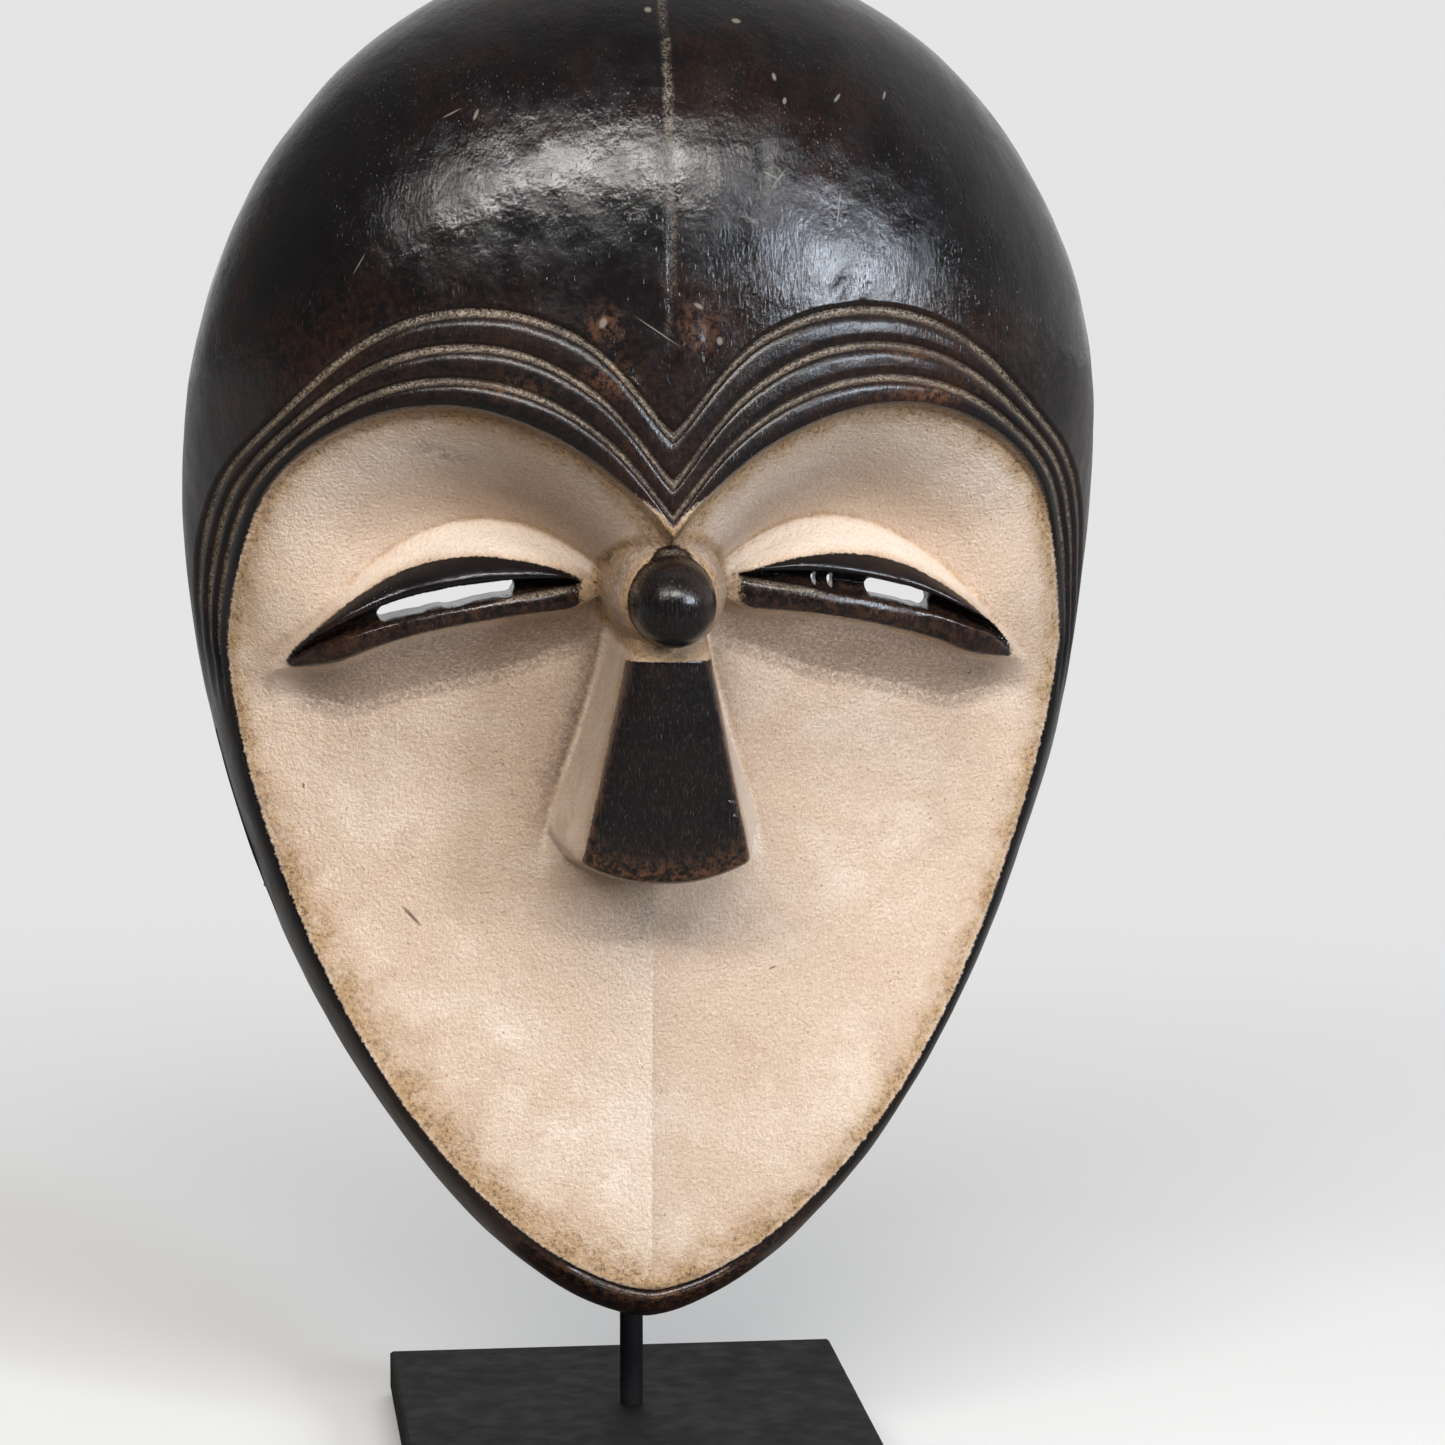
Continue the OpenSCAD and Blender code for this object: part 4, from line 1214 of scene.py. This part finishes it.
def make_light():
    """Three soft lights that polished faces don't show, a strip and a cool window that they do
    show, and a pale surround."""
    warm, cool = (1.0, 0.97, 0.93), (0.80, 0.89, 1.0)
    soft = [
        area_light("key", 14, 38, 2.0, (0.9, 0.4), 5.5, warm),
        area_light("fill", 10, 12, 2.2, (1.6, 0.8), 3.0, cool),
        area_light("rear", 165, 30, 2.2, (1.4, 0.8), 9.0, warm),
    ]
    for light in soft:
        light.visible_glossy = False
    area_light("strip", -11, 30.5, 2.0, (2.0, 0.13), 41.0, warm)
    area_light("window", 39, 12, 2.2, (0.27, 0.62), 37.0, cool)
    world = bpy.data.worlds.new("surround")
    world.use_nodes = True
    t = Tree(world.node_tree)
    direction = t.add("ShaderNodeSeparateXYZ")
    t.put(direction.inputs[0], t.add("ShaderNodeTexCoord").outputs["Generated"])
    behind = t.between(direction.outputs["Y"], -0.5, 0.2, 1 - ROOM_DARKNESS, 1.0)
    left = t.between(direction.outputs["X"], -0.2, -0.75, 1.0, 0.22)
    strength = t.backdrop(SURROUND_LIGHT, t.product(behind, left), 1.0)
    t.fill(t.tree.nodes["Background"], Color=BACKGROUND, Strength=strength)
    bpy.context.scene.world = world


def make_camera():
    """The photographed view: slightly from the left and above, with a long lens."""
    image_px, focal_px = 1445.0, 5200.0
    side_deg, distance, height = 5.4, 1.320, 0.3723
    aim_px = 93.5
    pitch_deg = 7.82
    data = bpy.data.cameras.new("photo_view")
    data.sensor_width = 36.0
    data.lens = 36.0 * focal_px / image_px
    ob = link("photo_view", data)
    side = math.radians(side_deg)
    ob.location = (-distance * math.sin(side), -distance * math.cos(side), height)
    yaw = side + math.atan(aim_px / focal_px)
    ob.rotation_euler = (math.radians(90 - pitch_deg), 0, -yaw)
    bpy.context.scene.camera = ob


make_camera()
mask = carve_mask()
mask.data.materials.append(mask_material())
dress(["base_plate", "post", "clamp_block", "crossbar"], paint_material())
dress(["base_felt", "rim_pad_left", "rim_pad_right"], felt_material())
dress(["post_screw", "bar_screws", "locating_pins"], steel_material())
dress(["crown_cap", "pin_sleeve_left", "pin_sleeve_right"], rubber_material())
dress(["thumb_screw"], brass_material())
make_stage()
make_light()
bpy.context.scene.view_settings.view_transform = "Standard"
